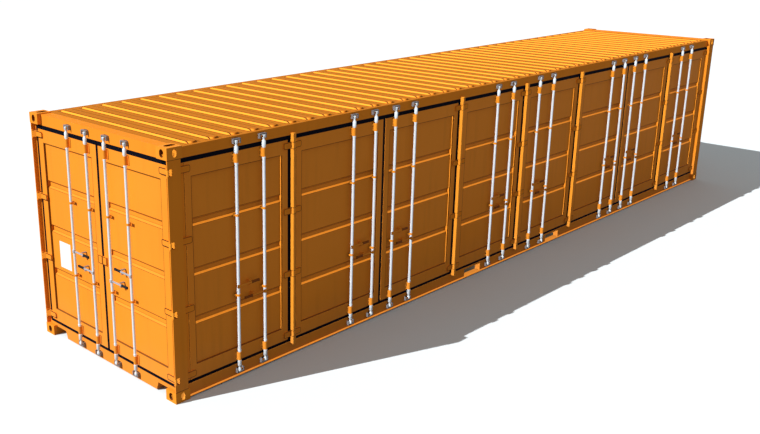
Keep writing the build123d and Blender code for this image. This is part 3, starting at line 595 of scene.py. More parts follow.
@dataclass(frozen=True)
class Paint(Finish):
    """Satin paint on steel, with slow mottling, faint streaks and dust low down."""

    dust: Colour = (0.42, 0.30, 0.17)
    streaks: float = 0.16
    dusting: float = 0.22
    gloss: float = 0.42
    peel: float = 0.00025
    shine: float = 0.12

    def build(self) -> Material:
        """Make the material."""
        surface, mask, toned = self.start(1.3, 1.4)
        rain = surface.effect(rain_streaks(), Scale=11.0, Amount=self.streaks)
        dust = surface.effect(road_dust(), Height=0.55, Amount=self.dusting)
        streaked = surface.mix(rain, toned, self.shaded(0.55))
        return surface.finish(
            surface.mix(dust, streaked, self.dust), mask, (self.gloss, self.gloss + 0.16),
            surface.grain(190.0), self.peel, Specular_IOR_Level=self.shine)


@dataclass(frozen=True)
class RoofPaint(Finish):
    """Chalked roof paint with grime along the bends of the cross ridges."""

    bend_shade: Colour

    def build(self) -> Material:
        """Make the material."""
        surface, mask, toned = self.start(0.9, 1.3)
        # The dark lines at the ridges' bends are painted shade.
        bend_shaded = surface.mix(surface.effect(ridge_lines()), toned, self.bend_shade)
        return surface.finish(
            bend_shaded, mask, (0.7, 0.85), surface.grain(190.0), 0.0002, Specular_IOR_Level=0.02)


@dataclass(frozen=True)
class Casting(Finish):
    """Painted cast steel: the paint's colour over a coarse sandy skin."""

    def build(self) -> Material:
        """Make the material."""
        surface, mask, toned = self.start(9.0, 1.8)
        rain = surface.effect(rain_streaks(), Scale=20.0, Amount=0.2)
        worn = surface.mix(rain, toned, self.shaded(0.7))
        return surface.finish(
            worn, mask, (0.5, 0.72), surface.grain(320.0), 0.0012, Specular_IOR_Level=0.05)


@dataclass(frozen=True)
class Galvanised(Finish):
    """Zinc-coated steel with a soft spangle and drawn grain."""

    def build(self) -> Material:
        """Make the material."""
        surface = Surface(self.name)
        spangle = surface.node("TexVoronoi", Vector=surface.place(), Scale=60.0)
        toned = surface.mix(spangle.outputs["Distance"], self.base, self.deep)
        mask = surface.effect(mottle(), Scale=14.0, Contrast=1.5)
        return surface.finish(
            toned, mask, (0.28, 0.5), surface.grain(260.0, stretch=0.05), 0.0003, Metallic=0.15)


@dataclass(frozen=True)
class Rubber(Finish):
    """Matt moulded rubber with dust in its pores."""

    def build(self) -> Material:
        """Make the material."""
        surface, mask, toned = self.start(7.0, 1.6)
        return surface.finish(
            toned, mask, (0.55, 0.8), surface.grain(420.0), 0.0004, Specular_IOR_Level=0.03)


@dataclass(frozen=True)
class Deck(Finish):
    """Plywood deck with plank joints across the box and grain along it."""

    joint: Colour
    plank: float = 0.298

    def build(self) -> Material:
        """Make the material."""
        surface = Surface(self.name)
        place = surface.place()
        stretch = surface.node("Mapping", Vector=place, Scale=(0.7, 16.0, 16.0))
        grain = surface.noise(Vector=stretch.outputs["Vector"], Scale=2.2, Detail=6.0)
        boards = surface.node("TexBrick", Vector=place, Scale=1.0, Brick_Width=2.4,
                              Row_Height=self.plank, Mortar_Size=0.003)
        wood = surface.mix(grain, self.base, self.deep)
        return surface.finish(
            surface.mix(boards.outputs["Fac"], wood, self.joint), grain, (0.5, 0.75), grain, 0.0008)


class Finishes:
    """Every finish on the box, built once and found by name."""

    ORANGE: tuple[Colour, Colour] = (0.93, 0.305, 0.024), (0.87, 0.275, 0.020)

    def __init__(self) -> None:
        """Build all the finishes."""
        recipes = (
            Paint("door_paint", *self.ORANGE),
            Paint("frame_paint", (0.91, 0.295, 0.023), (0.85, 0.262, 0.019), gloss=0.6, shine=0.04),
            # The roof's colour is a darker copy of the box's orange, painted shade on the top; the
            # last colour is the painted shade along the ridges' bends.
            RoofPaint("roof_paint", (0.53, 0.172, 0.016), (0.47, 0.150, 0.013),
                      (0.07, 0.024, 0.004)),
            Paint("wall_paint", *self.ORANGE),
            Paint("bracket_paint", (0.90, 0.315, 0.026), (0.82, 0.275, 0.022)),
            # Dark brown of the painted shade lines round brackets, hinge blades, knuckle gaps, seal
            # strips, castings and lap plates.
            Paint("shade_line_paint", (0.20, 0.055, 0.006), (0.13, 0.036, 0.005)),
            # Near black of the painted shade lines behind the keepers and round the cargo door
            # hinges.
            Paint("outline_paint", (0.060, 0.022, 0.005), (0.04, 0.014, 0.004)),
            Galvanised("keeper_steel", (0.29, 0.28, 0.29), (0.17, 0.165, 0.17)),
            Galvanised("lever_steel", (0.52, 0.56, 0.62), (0.38, 0.41, 0.47)),
            Paint("cam_paint", (0.36, 0.115, 0.014), (0.26, 0.080, 0.010), peel=0.0004),
            # Dark brown of the side grips, also used as painted shade inside the castings' end
            # holes.
            Paint("grip_and_shade_paint", (0.30, 0.085, 0.010), (0.22, 0.060, 0.008)),
            # Dark brown of the side infills' rings and groove lines: painted shade on the reveals
            # and bends.
            Paint("reveal_shade_paint", (0.36, 0.100, 0.009), (0.28, 0.078, 0.007)),
            # A lighter, yellower copy of the orange for faces that are to look lit: painted light.
            Paint("highlight_orange_paint", (0.93, 0.335, 0.030), (0.88, 0.305, 0.026), streaks=0.05),
            # Dark brown of the cargo doors' groove lines: painted shade at the bends.
            Paint("line_paint", (0.24, 0.085, 0.010), (0.18, 0.060, 0.008)),
            Paint("underside_paint", (0.030, 0.028, 0.027), (0.018, 0.017, 0.017), gloss=0.6),
            Casting("casting_paint", (0.94, 0.315, 0.025), (0.88, 0.285, 0.022)),
            Galvanised("bar_steel", (0.87, 0.94, 0.99), (0.76, 0.85, 0.92)),
            Rubber("seal_rubber", (0.0016, 0.0022, 0.0065), (0.004, 0.005, 0.011)),
            Rubber("grip_rubber", (0.016, 0.016, 0.018), (0.03, 0.03, 0.032)),
            Paint("plate_paint", (0.88, 0.88, 0.87), (0.82, 0.82, 0.81), dust=(0.6, 0.56, 0.5),
                  streaks=0.05, dusting=0.0),
            Deck("deck_timber", (0.36, 0.22, 0.11), (0.21, 0.12, 0.06), (0.05, 0.03, 0.02)),
        )
        self.made = {recipe.name: recipe.build() for recipe in recipes}

    def of(self, name: str) -> Material:
        """A finish by its name, which may be that of one of the record's material slots."""
        return self.made[name]


@dataclass
class Assembly:
    """Pieces that belong together and take their finishes by name."""

    finishes: Finishes

    def fit(self, obj: Piece, finish: str, body: str, slot: str, node: str = "") -> Piece:
        """Finish a piece and let it ride on its body.

        Args:
            obj: the piece.
            finish: name of its finish.
            body: the body that it rides on.
            slot: the slot that it takes its finish from.
            node: the constructed node that it stands for, if there is one.

        Returns:
            The same piece.
        """
        obj.data.materials.clear()
        obj.data.materials.append(self.finishes.of(finish))
        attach(obj, body)
        LOG.info("%s rides on %s, %d faces", obj.name, body, len(obj.data.polygons))
        if node:
            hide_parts(node)
        return obj


@dataclass
class CadDress(Assembly):
    """Finishes for the pieces that keep their constructed shape."""

    # The uprights take the lighter copy of the orange: painted light.
    UPRIGHTS = ("fold_hinge_bars", "centre_post")
    KEEPERS = ("end_keepers", "side_keepers", "handle_catches_left", "handle_catches_right")

    def dress_all(self) -> None:
        """Assign each node its slot's finish, but for the uprights and the keepers."""
        names = {part["node"]: part["material_slot"] for part in frame["record"]["subparts"]}
        names.update(dict.fromkeys(self.UPRIGHTS, "highlight_orange_paint"))
        names.update(dict.fromkeys(self.KEEPERS, "keeper_steel"))
        for name, obj in frame["nodes"].items():
            finish = self.finishes.of(names[name])
            if not obj.material_slots:
                obj.data.materials.append(finish)
            for slot in obj.material_slots:
                slot.material = finish
            LOG.info("%s is finished in %s", name, finish.name)


@dataclass
class BarGear:
    """One locking bar with its cams, collars, handle and grip, seen from outside."""

    facing: Facing
    station: float
    nose: int
    handle_z: float
    low: float = 0.062
    high: float = 2.529
    radius: float = 0.016
    cam_height: float = 0.026
    cam_nose: float = 0.038
    cam_half: float = 0.008
    cam_inset: float = 0.003
    cam_round: float = 0.005
    lip: float = 0.013
    lip_rise: float = 0.001
    lip_round: float = 0.004
    boss: float = 0.018
    neck: float = 0.011
    collar: float = 0.0205
    small_collar: float = 0.0190
    collar_place: float = 0.225
    hub_half: float = 0.018
    hub_front: float = 0.020
    hub_height: float = 0.040
    hub_round: float = 0.006
    lever_height: float = 0.016
    lever_front: float = 0.009
    lever_lap: float = 0.012
    lever_tip: float = 0.008
    handle_length: float = 0.285
    grip_length: float = 0.105
    grip_height: float = 0.030
    grip_thickness: float = 0.018
    grip_round: float = 0.004
    waist: Pair = (0.86, 0.9)
    waist_reach: float = 0.3

    def end_profile(self) -> list[Pair]:
        """Radius and distance from the bar's tip, from the cam's boss to the plain bar."""
        cam, collar = self.cam_height, self.collar_place
        return [
            (self.boss * 0.7, 0.0), (self.boss, 0.004), (self.boss, cam),
            (self.neck, cam + 0.010), (self.neck, cam + 0.024),
            (self.collar, cam + 0.036), (self.collar, cam + 0.096),
            (self.radius, cam + 0.099), (self.radius, collar),
            (self.small_collar, collar + 0.001), (self.small_collar, collar + 0.016),
            (self.radius, collar + 0.018),
        ]

    def rod(self) -> list[Piece]:
        """The round bar with a boss, neck and collar at each end, as one turned piece."""
        bottom = [(radius, self.low + along) for radius, along in self.end_profile()]
        top = [(radius, self.high - along) for radius, along in reversed(self.end_profile())]
        return [turned(bottom + top)]

    def cam(self, z: float) -> Piece:
        """One cam's nose to local +X, with a lip that turns in behind the keeper's cheek."""
        top, inset, rise = z + self.cam_height, self.cam_inset, self.lip_rise
        nose = block((0.0, z + inset, -self.cam_half),
                     (self.cam_nose, top - inset, self.cam_half), self.cam_round, 3)
        lip = block((self.cam_nose - self.lip, z, -self.cam_half - rise),
                    (self.cam_nose, top, self.cam_half + rise), self.lip_round, 2)
        return joined([lip, nose], "cam")

    def cams(self) -> list[Piece]:
        """The two cams."""
        return [self.cam(self.low), self.cam(self.high - self.cam_height)]

    def lever(self) -> list[Piece]:
        """The clamp on the bar, and the flat lever from there to the grip."""
        z, reach = self.handle_z, self.handle_length - self.grip_length + self.lever_lap
        hub = block((-self.hub_half, z - self.hub_height / 2, 0.0),
                    (self.hub_half, z + self.hub_height / 2, self.hub_front), self.hub_round, 3)
        lever = strap(reach, self.lever_height, self.lever_front, self.lever_tip)
        return [hub, moved(lever, Matrix.Translation((0.0, z, 0.0)))]

    def grip(self) -> list[Piece]:
        """The moulded grip, with a shallow waist at its middle."""
        start, middle = self.handle_length - self.grip_length, self.lever_front / 2
        half_height, half_thickness = self.grip_height / 2, self.grip_thickness / 2
        grip = block((start, self.handle_z - half_height, middle - half_thickness),
                     (self.handle_length, self.handle_z + half_height, middle + half_thickness))
        with editing(grip):
            bpy.ops.mesh.subdivide(number_cuts=2)
        centre = start + self.grip_length / 2
        with editing(grip, lambda point: (
                abs(point.x - centre) < self.grip_length * self.waist_reach)):
            bpy.ops.transform.resize(
                value=(1.0, *self.waist), center_override=(centre, self.handle_z, middle))
        rounded(grip, self.grip_round, 2)
        return [grip]

    def placed(self, pieces: Sequence[Piece], name: str) -> Piece:
        """Join pieces at the bar's place, mirrored where its nose points left from outside."""
        side = self.nose if self.facing is Facing.SIDE else -self.nose
        place = self.facing.matrix(self.station, 0.0, Layout.BAR_INSET) @ flip(side)
        return smooth(moved(joined(pieces, name), place))


@dataclass
class LockingGear(Assembly):
    """All the locking bars of the box."""

    end_high_z: float = 1.160
    end_low_z: float = 1.010
    side_high_z: float = 1.010
    side_low_z: float = 0.860

    def build_end(self) -> list[Piece]:
        """The four cargo door bars, each on its own body."""
        made = []
        for side, hand in HANDS:
            bars = {"outer": BarGear(Facing.END, side * Layout.END_OUTER, -side, self.end_high_z),
                    "inner": BarGear(Facing.END, side * Layout.END_INNER, side, self.end_low_z)}
            for place, bar in bars.items():
                node = f"end_bar_{hand}_{place}"
                for label, make, finish, slot, stands_for in (
                        ("steel", bar.rod, "bar_steel", "bar_steel", node),
                        ("lever", bar.lever, "lever_steel", "bar_steel", ""),
                        ("grip", bar.grip, "grip_rubber", "seal_rubber", ""),
                        ("cams", bar.cams, "cam_paint", "bracket_paint", "")):
                    piece = bar.placed(make(), f"{node}_{label}")
                    made.append(self.fit(piece, finish, f"bar_{hand}_{place}", slot, stands_for))
        return made

    def build_side(self) -> list[Piece]:
        """The sixteen side door bars, which stay closed; the rods and the cams are given back."""
        bars = [BarGear(Facing.SIDE, x, nose, self.side_high_z if nose > 0 else self.side_low_z)
                for x, nose in Layout.side_noses()]
        made = []
        for name, make, finish, slot, node in (
                ("side_bars_steel", BarGear.rod, "bar_steel", "bar_steel", "side_locking_bars"),
                ("side_bar_cams", BarGear.cams, "cam_paint", "bracket_paint", ""),
                ("side_bar_levers", BarGear.lever, "bracket_paint", "bracket_paint", ""),
                ("side_bar_grips", BarGear.grip, "grip_and_shade_paint", "bracket_paint", "")):
            pieces = [bar.placed(make(bar), f"{name}_{index}") for index, bar in enumerate(bars)]
            made.append(self.fit(joined(pieces, name), finish, "box", slot, node))
        return made[:2]


@dataclass
class Bearings(Assembly):
    """The folded brackets that hold the bars, with their foot plates and bolts."""

    inner: float = 0.0163
    plate: float = 0.004
    foot: float = 0.016
    face: float = 0.024
    long: float = 0.092
    short: float = 0.024
    line: float = 0.0045
    line_rise: float = 0.0012
    bolt_radius: float = 0.0045
    bolt_height: float = 0.0035
    bolt_edge: float = 0.0065
    bolt_lift: float = 0.03
    end_middles: Pair = (1.704, 0.884)
    side_middles: Pair = (1.768, 0.914)

    def bracket(self, height: float) -> Piece:
        """One bracket about the bar's axis, round over the bar and flat on the leaf."""
        hat = fresh(bpy.ops.mesh.primitive_circle_add, vertices=RING_SIDES, radius=self.inner,
                    rotation=(QUARTER, 0, 0))
        with editing(hat, lambda point: point.z < -TOUCH):
            bpy.ops.mesh.delete(type="VERT")
        with editing(hat, lambda point: point.z < TOUCH):
            extrude(0, 0, -self.face)
        for side in BOTH:
            with editing(hat, lambda point: (
                    point.z < TOUCH - self.face and abs(point.x - side * self.inner) < TOUCH)):
                extrude(side * self.foot, 0, 0)
        with editing(hat):
            extrude(0, height, 0)
        if max(hat.data.polygons, key=lambda polygon: polygon.center.z).normal.z < 0:
            hat.data.flip_normals()
        hat.data.transform(Matrix.Translation((0, -height / 2, 0)))
        modify(hat, "SOLIDIFY", thickness=self.plate, offset=1.0)
        return hat

    def shade_line_plate(self, height: float) -> Piece:
        """The thin dark line of dirt and paint round one bracket's feet."""
        half = self.inner + self.foot + self.line
        rise = height / 2 + self.line
        return block((-half, -rise, -self.face), (half, rise, self.line_rise - self.face))

    def bolts(self, height: float) -> list[Matrix]:
        """Places of one bracket's bolts: four on a long one and two on a short one."""
        across = self.inner + self.plate + self.bolt_edge
        lifts = (-self.bolt_lift, self.bolt_lift) if height == self.long else (0.0,)
        return [Matrix.Translation((side * across, lift, self.plate - self.face))
                for side in BOTH for lift in lifts]

    def build_set(self, facing: Facing, stations: Sequence[float], middles: Pair, name: str,
                  body: str, node: str) -> list[Piece]:
        """All the brackets of one node.

        Args:
            facing: the wall that they are on.
            stations: places of the bars along it.
            middles: heights of the two short brackets on each bar, the upper one first.
            name: start of the pieces' names.
            body: the body that they ride on.
            node: the constructed node that they stand for.

        Returns:
            The brackets and their bolts.
        """
        groups: dict[str, list[Piece]] = {"": [], "_lines": [], "_bolts": []}
        for size, heights in ((self.long, (Layout.TOP_BEARING, Layout.LOW_BEARING)),
                              (self.short, middles)):
            spots = [facing.matrix(x, z, Layout.BAR_INSET) for z in heights for x in stations]
            heads = [spot @ bolt for spot in spots for bolt in self.bolts(size)]
            for label, pattern, places in (
                    ("", self.bracket(size), spots), ("_lines", self.shade_line_plate(size), spots),
                    ("_bolts", hexagon(self.bolt_radius, self.bolt_height), heads)):
                groups[label].append(repeated(pattern, places, f"{name}{label}_{size}"))
        whole, lines, heads = (joined(pieces, name + label) for label, pieces in groups.items())
        self.fit(smooth(whole), "bracket_paint", body, "bracket_paint", node)
        # The line plates are painted shade round the brackets' feet.
        self.fit(lines, "shade_line_paint", body, "bracket_paint")
        self.fit(heads, "bracket_paint", body, "bracket_paint")
        return [whole, heads]

    def build_end(self) -> list[Piece]:
        """The brackets of the cargo doors."""
        made = []
        for side, hand in HANDS:
            stations = (side * Layout.END_OUTER, side * Layout.END_INNER)
            made += self.build_set(Facing.END, stations, self.end_middles,
                                   f"end_brackets_{hand}", f"door_{hand}", f"end_bearings_{hand}")
        return made

    def build_side(self) -> list[Piece]:
        """The brackets of the folding side."""
        return self.build_set(Facing.SIDE, Layout.side_bars(), self.side_middles,
                              "side_brackets", "box", "side_bearings")


@dataclass
class DoorShadeLines(Assembly):
    """The dark lines of each leaf: round its pressed infill and along its grooves."""

    seam_half: float = 0.016
    leaf_edge: float = 0.078
    band_width: float = 0.006
    rise: float = 0.0195
    line: float = 0.0045
    line_rise: float = 0.0008
    groove_depth: float = 0.022
    groove_slope: float = 0.020
    leaf_rail: float = 0.150
    end_stile: float = 0.090
    side_stile: float = 0.078
    groove: float = 0.084
    grooves: int = 3
    edge_width: float = 0.003
    edge_rise: float = 0.010
    root: float = 0.0004

    def span(self, node: str, facing: Facing) -> Pair:
        """Where a leaf starts and stops along its wall."""
        low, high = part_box(node)
        if facing is Facing.SIDE:
            return low.x, high.x
        side = 1 if low.y + high.y > 0 else -1
        start, stop = sorted((side * self.seam_half, side * (HIGH.y - self.leaf_edge)))
        return start, stop

    def groove_bends(self) -> list[Pair]:
        """Height and depth below the infill's face of every bend of the grooves."""
        low = Layout.LEAF_LOW + self.leaf_rail
        high = Layout.LEAF_HIGH - self.leaf_rail
        plain = (high - low - self.grooves * self.groove) / (self.grooves + 1)
        bends = []
        for step in range(self.grooves):
            base = low + (step + 1) * plain + step * self.groove
            top = base + self.groove
            bends += [(base, 0.0), (base + self.groove_slope, self.groove_depth),
                      (top - self.groove_slope, self.groove_depth), (top, 0.0)]
        return bends

    def lines(self, node: str, facing: Facing, stile: float, name: str) -> Piece:
        """The ring and the groove lines of one leaf."""
        start, stop = self.span(node, facing)
        centre, half_width = (start + stop) / 2, (stop - start) / 2 - stile
        middle = (Layout.LEAF_HIGH + Layout.LEAF_LOW) / 2
        half_height = (Layout.LEAF_HIGH - Layout.LEAF_LOW) / 2 - self.leaf_rail
        depth = Layout.FACE_SET + Layout.INFILL_SET
        ring = border(half_width, half_height, self.band_width, self.rise)
        ring.data.transform(facing.matrix(centre, middle, depth))
        strip = block((-half_width, -self.line / 2, -self.root),
                      (half_width, self.line / 2, self.line_rise), 0.0003)
        spots = [facing.matrix(centre, z, depth + sunk) for z, sunk in self.groove_bends()]
        return joined([repeated(strip, spots, "groove_lines"), ring], name)

    def edge(self, node: str) -> Piece:
        """The folded edge inside the ring at the right of one side infill."""
        stop = self.span(node, Facing.SIDE)[1] - self.side_stile - self.band_width
        inset = self.leaf_rail + self.band_width
        edge = block((stop - self.edge_width, Layout.LEAF_LOW + inset, -self.root),
                     (stop + self.root, Layout.LEAF_HIGH - inset, self.edge_rise), 0.0006)
        return moved(edge, Facing.SIDE.matrix(depth=Layout.FACE_SET + Layout.INFILL_SET))

    def build(self) -> Piece:
        """A seam piece for the side and one on each cargo door; the lit edges are given back."""
        leaves = [f"side_leaf_{number}" for number in range(1, 9)]
        side = [self.lines(leaf, Facing.SIDE, self.side_stile, f"{leaf}_lines") for leaf in leaves]
        self.fit(joined(side, "side_infill_shade_lines"), "reveal_shade_paint", "box", "door_paint")
        for _, hand in HANDS:
            seam = self.lines(
                f"end_leaf_{hand}", Facing.END, self.end_stile, f"end_infill_shade_lines_{hand}")
            self.fit(seam, "line_paint", f"door_{hand}", "door_paint")
        edges = joined([self.edge(leaf) for leaf in leaves], "side_infill_edges")
        return self.fit(edges, "highlight_orange_paint", "box", "door_paint")


@dataclass
class SideHinges(Assembly):
    """Joint lines of the side hinges, and the knuckles on the upright bars."""

    line: float = 0.005
    reach: float = 0.064
    knuckle_half: float = 0.0165
    knuckle_front: float = 0.0045
    gap_half: float = 0.002
    gap_rise: float = 0.0005

    def blades(self) -> list[Pair]:
        """Root and tip of every hinge blade along the side."""
        root, tip = Layout.UPRIGHT_HALF, Layout.FOLD_GAP + self.reach
        pairs = [(x + side * root, x + side * tip) for x in Layout.folds() for side in BOTH]
        tip = Layout.EDGE - Layout.POST_GAP - self.reach
        return pairs + [(-Layout.EDGE, -tip), (Layout.EDGE, tip)]

    def build_lines(self) -> None:
        """The thin dark edge drawn round each blade, and its painted cover."""
        lines, covers = [], []
        for root, tip in self.blades():
            dark, cover = lined_straps(abs(tip - root), Layout.BLADE, self.line)
            spots = [Facing.SIDE.matrix(root, z, Layout.BLADE_FRONT) @ flip(1 if tip > root else -1)
                     for z in Layout.HINGE_HEIGHTS]
            lines.append(repeated(dark, spots, "blade_line"))
            covers.append(repeated(cover, spots, "blade_cover"))
        self.fit(joined(lines, "side_hinge_lines"), "shade_line_paint", "box", "frame_paint")
        self.fit(joined(covers, "side_hinge_covers"), "frame_paint", "box", "frame_paint")

    def build(self) -> Piece:
        """All the hinge pieces; the knuckles round the upright bars are given back."""
        self.build_lines()
        half, lift = self.knuckle_half, Layout.BLADE / 2
        front = Layout.FACE_SET - self.knuckle_front
        spots = [Facing.SIDE.matrix(x, z, Layout.FACE_SET)
                 for x in Layout.folds() for z in Layout.HINGE_HEIGHTS]
        # Dark strips above and below each knuckle: painted shade in the gaps.
        gap = block((-half - self.gap_rise, -self.gap_half, self.gap_half),
                    (half + self.gap_rise, self.gap_half, front + self.gap_rise), 0.0005)
        rims = [spot @ Matrix.Translation((0, side * lift, 0)) for spot in spots for side in BOTH]
        self.fit(repeated(gap, rims, "side_knuckle_gaps"), "shade_line_paint", "box", "frame_paint")
        # Knuckles in the lighter copy of the orange: painted light.
        knuckle = block((-half, -lift, 0.0), (half, lift, front), 0.004, 2)
        whole = repeated(knuckle, spots, "side_hinge_knuckles")
        return self.fit(whole, "highlight_orange_paint", "box", "frame_paint")


@dataclass
class EndHinges(Assembly):
    """The bright knuckles and the joint lines of the cargo doors' hinges."""

    pin: float = 0.014
    knuckle: float = 0.0133
    chamfer: float = 0.002
    height: float = 0.066
    bend: float = 0.060
    reach: float = 0.174
    line: float = 0.009
    pocket: float = 0.0558
    liner: Pair = (-0.055, -0.0045)
    liner_rise: float = 0.0015

    def sleeve(self) -> Piece:
        """One knuckle about its pin, with chamfered ends."""
        half, small = self.height / 2, self.knuckle - self.chamfer
        return turned([(small, -half), (self.knuckle, self.chamfer - half),
                       (self.knuckle, half - self.chamfer), (small, half)])

    def build(self) -> list[Piece]:
        """Knuckles, lines and liners of both doors; the knuckles and liners are given back."""
        knuckles = []
        for side, hand in HANDS:
            body = f"door_{hand}"
            spots = [Facing.END.matrix(side * (HIGH.y - self.pin), z, self.pin)
                     for z in Layout.HINGE_HEIGHTS]
            knuckle = smooth(repeated(self.sleeve(), spots, f"end_knuckles_{hand}"))
            # Knuckles in the lighter copy of the orange: painted light.
            knuckles.append(self.fit(knuckle, "highlight_orange_paint", body, "door_paint"))
            straps = lined_straps(self.reach - self.bend, Layout.BLADE, self.line)
            root = side * (HIGH.y - self.bend)
            spots = [Facing.END.matrix(root, z, Layout.BLADE_FRONT) @ flip(side)
                     for z in Layout.HINGE_HEIGHTS]
            # The near black straps show round the blades as painted shade lines.
            for piece, finish, label in zip(
                    straps, ("outline_paint", "door_paint"), ("lines", "covers")):
                whole = repeated(piece, spots, f"end_hinge_{label}_{hand}")
                self.fit(whole, finish, body, "door_paint")
        spots = [Facing.END.matrix(side * HIGH.y, z, self.pocket) @ flip(-side)
                 for side in BOTH for z in Layout.HINGE_HEIGHTS]
        # Bright sheets in the hinge pockets, in the lighter copy of the orange: painted light, with
        # the side fill lamp on them.
        liner = block((self.liner[0], -self.height / 2, 0.0),
                      (self.liner[1], self.height / 2, self.liner_rise), 0.0006)
        liners = repeated(liner, spots, "hinge_pocket_liners")
        return knuckles + [self.fit(liners, "highlight_orange_paint", "box", "frame_paint")]


@dataclass
class KeeperLines(Assembly):
    """Dark joint lines on the rails behind the keepers."""

    low: float = 0.041
    height: float = 0.058
    near: float = 0.024
    far: float = 0.041
    rise: float = 0.0012

    def build(self) -> None:
        """A line plate at the foot and the head of each bar, on the end and on the side."""
        heads = HIGH.z - self.low - self.height
        outer, inner = Layout.END_OUTER, Layout.END_INNER
        noses = [(outer, 1), (inner, -1), (-inner, 1), (-outer, -1)]
        for facing, pairs, name in ((Facing.END, noses, "end_keeper_lines"),
                                    (Facing.SIDE, Layout.side_noses(), "side_keeper_lines")):
            plate = block((-self.near, 0.0, 0.0), (self.far, self.height, self.rise), 0.0004)
            spots = [facing.matrix(station, z, Layout.FACE_SET) @ flip(nose)
                     for station, nose in pairs for z in (self.low, heads)]
            self.fit(repeated(plate, spots, name), "outline_paint", "box", "bracket_paint")


@dataclass
class SideSeals(Assembly):
    """Seals that fill the gaps between the side leaves, and the painted strips beside them."""

    face: float = 0.0475
    back: float = 0.0605
    gap: float = 0.0015
    seam_half: float = 0.021
    line: float = 0.006
    line_rise: float = 0.0008
    lip_rise: float = 0.0025

    def strip(self, start: float, stop: float, low: float = Layout.LEAF_LOW,
              high: float = Layout.LEAF_HIGH, proud: float = 0.0) -> Piece:
        """A softly rounded strip that fills a gap almost to the leaves' faces.

        Args:
            start: X of its left edge.
            stop: X of its right edge.
            low: Z of its lower edge.
            high: Z of its upper edge.
            proud: how far it stands in front of the seals.

        Returns:
            The strip at its place.
        """
        strip = block((start + self.gap, low + self.gap, 0.0),
                      (stop - self.gap, high - self.gap, self.back - self.face + proud), 0.0008)
        return moved(strip, Facing.SIDE.matrix(depth=self.back))

    def build(self) -> list[Piece]:
        """All the strips; the joint lines along the painted ones are not given back."""
        edge, post_gap, line = Layout.EDGE, Layout.POST_GAP, self.line
        half, gap = Layout.UPRIGHT_HALF, Layout.FOLD_GAP
        folds = Layout.folds()
        levels = ((Layout.LEAF_HIGH - Layout.LIP, Layout.HEADER_BOTTOM),
                  (Layout.SILL_TOP, Layout.LEAF_LOW + Layout.LIP))
        seals = [self.strip(-edge, edge, low, high, self.lip_rise) for low, high in levels]
        seals += [self.strip(x - self.seam_half, x + self.seam_half)
                  for x in (Layout.SEAM, -Layout.SEAM)]
        seals += [self.strip(x - gap, x - half) for x in folds]
        painted = [self.strip(-edge, post_gap - edge), self.strip(edge - post_gap, edge)]
        painted += [self.strip(x + half, x + gap) for x in folds]
        # Dark lines at the edges of the painted strips: painted shade.
        starts = [-edge, post_gap - edge - line, edge - line, edge - post_gap]
        starts += [place for x in folds for place in (x + half, x + gap - line)]
        lines = [self.strip(x, x + line + 2 * self.gap, proud=self.line_rise) for x in starts]
        rubber = joined(seals, "side_seal_strips")
        covers = joined(painted, "side_seal_covers")
        self.fit(rubber, "seal_rubber", "box", "seal_rubber")
        self.fit(covers, "frame_paint", "box", "frame_paint")
        self.fit(joined(lines, "side_seal_lines"), "shade_line_paint", "box", "frame_paint")
        return [rubber, covers]


@dataclass
class EndSealLips(Assembly):
    """The rubber lips over the edges of the cargo doors."""

    near: float = 0.004
    far: float = 1.150
    face: float = 0.0448
    back: float = 0.0490
    gap: float = 0.0055
    seam_near: float = 0.0030
    seam_far: float = 0.0190

    def build(self) -> None:
        """Three lips on each door, over its top and bottom edges and beside the seam."""
        low, high = Layout.LEAF_LOW, Layout.LEAF_HIGH
        rows = ((self.near, self.far, Layout.SILL_TOP + self.gap, low + Layout.LIP),
                (self.near, self.far, high - Layout.LIP, Layout.HEADER_BOTTOM - self.gap),
                (self.seam_near, self.seam_far, low, high))
        for side, hand in HANDS:
            strips = []
            for near, far, foot, head in rows:
                start, stop = sorted((-side * near, -side * far))
                strip = block((start, foot, self.face - self.back), (stop, head, 0.0), 0.0012, 2)
                strips.append(moved(strip, Facing.END.matrix(depth=self.face)))
            lips = joined(strips, f"end_seal_lips_{hand}")
            self.fit(lips, "seal_rubber", f"door_{hand}", "seal_rubber")


@dataclass
class CastingShadeLines(Assembly):
    """Weld lines on the posts' side faces, where the corner castings meet them."""

    height: float = 0.118
    post_set: float = 0.004
    band_width: float = 0.005
    rise: float = 0.001

    def build(self) -> None:
        """The four level lines that show on the door side."""
        half, lift = Layout.POST / 2, self.height + self.band_width / 2
        line = block((self.post_set - half, -self.band_width / 2, 0.0),
                     (half, self.band_width / 2, self.rise), 0.0003)
        spots = [Facing.SIDE.matrix(side * (HIGH.x - half), z, self.post_set) @ flip(side)
                 for side in BOTH for z in (lift, HIGH.z - lift)]
        self.fit(repeated(line, spots, "casting_shade_lines"), "shade_line_paint", "box", "casting_paint")


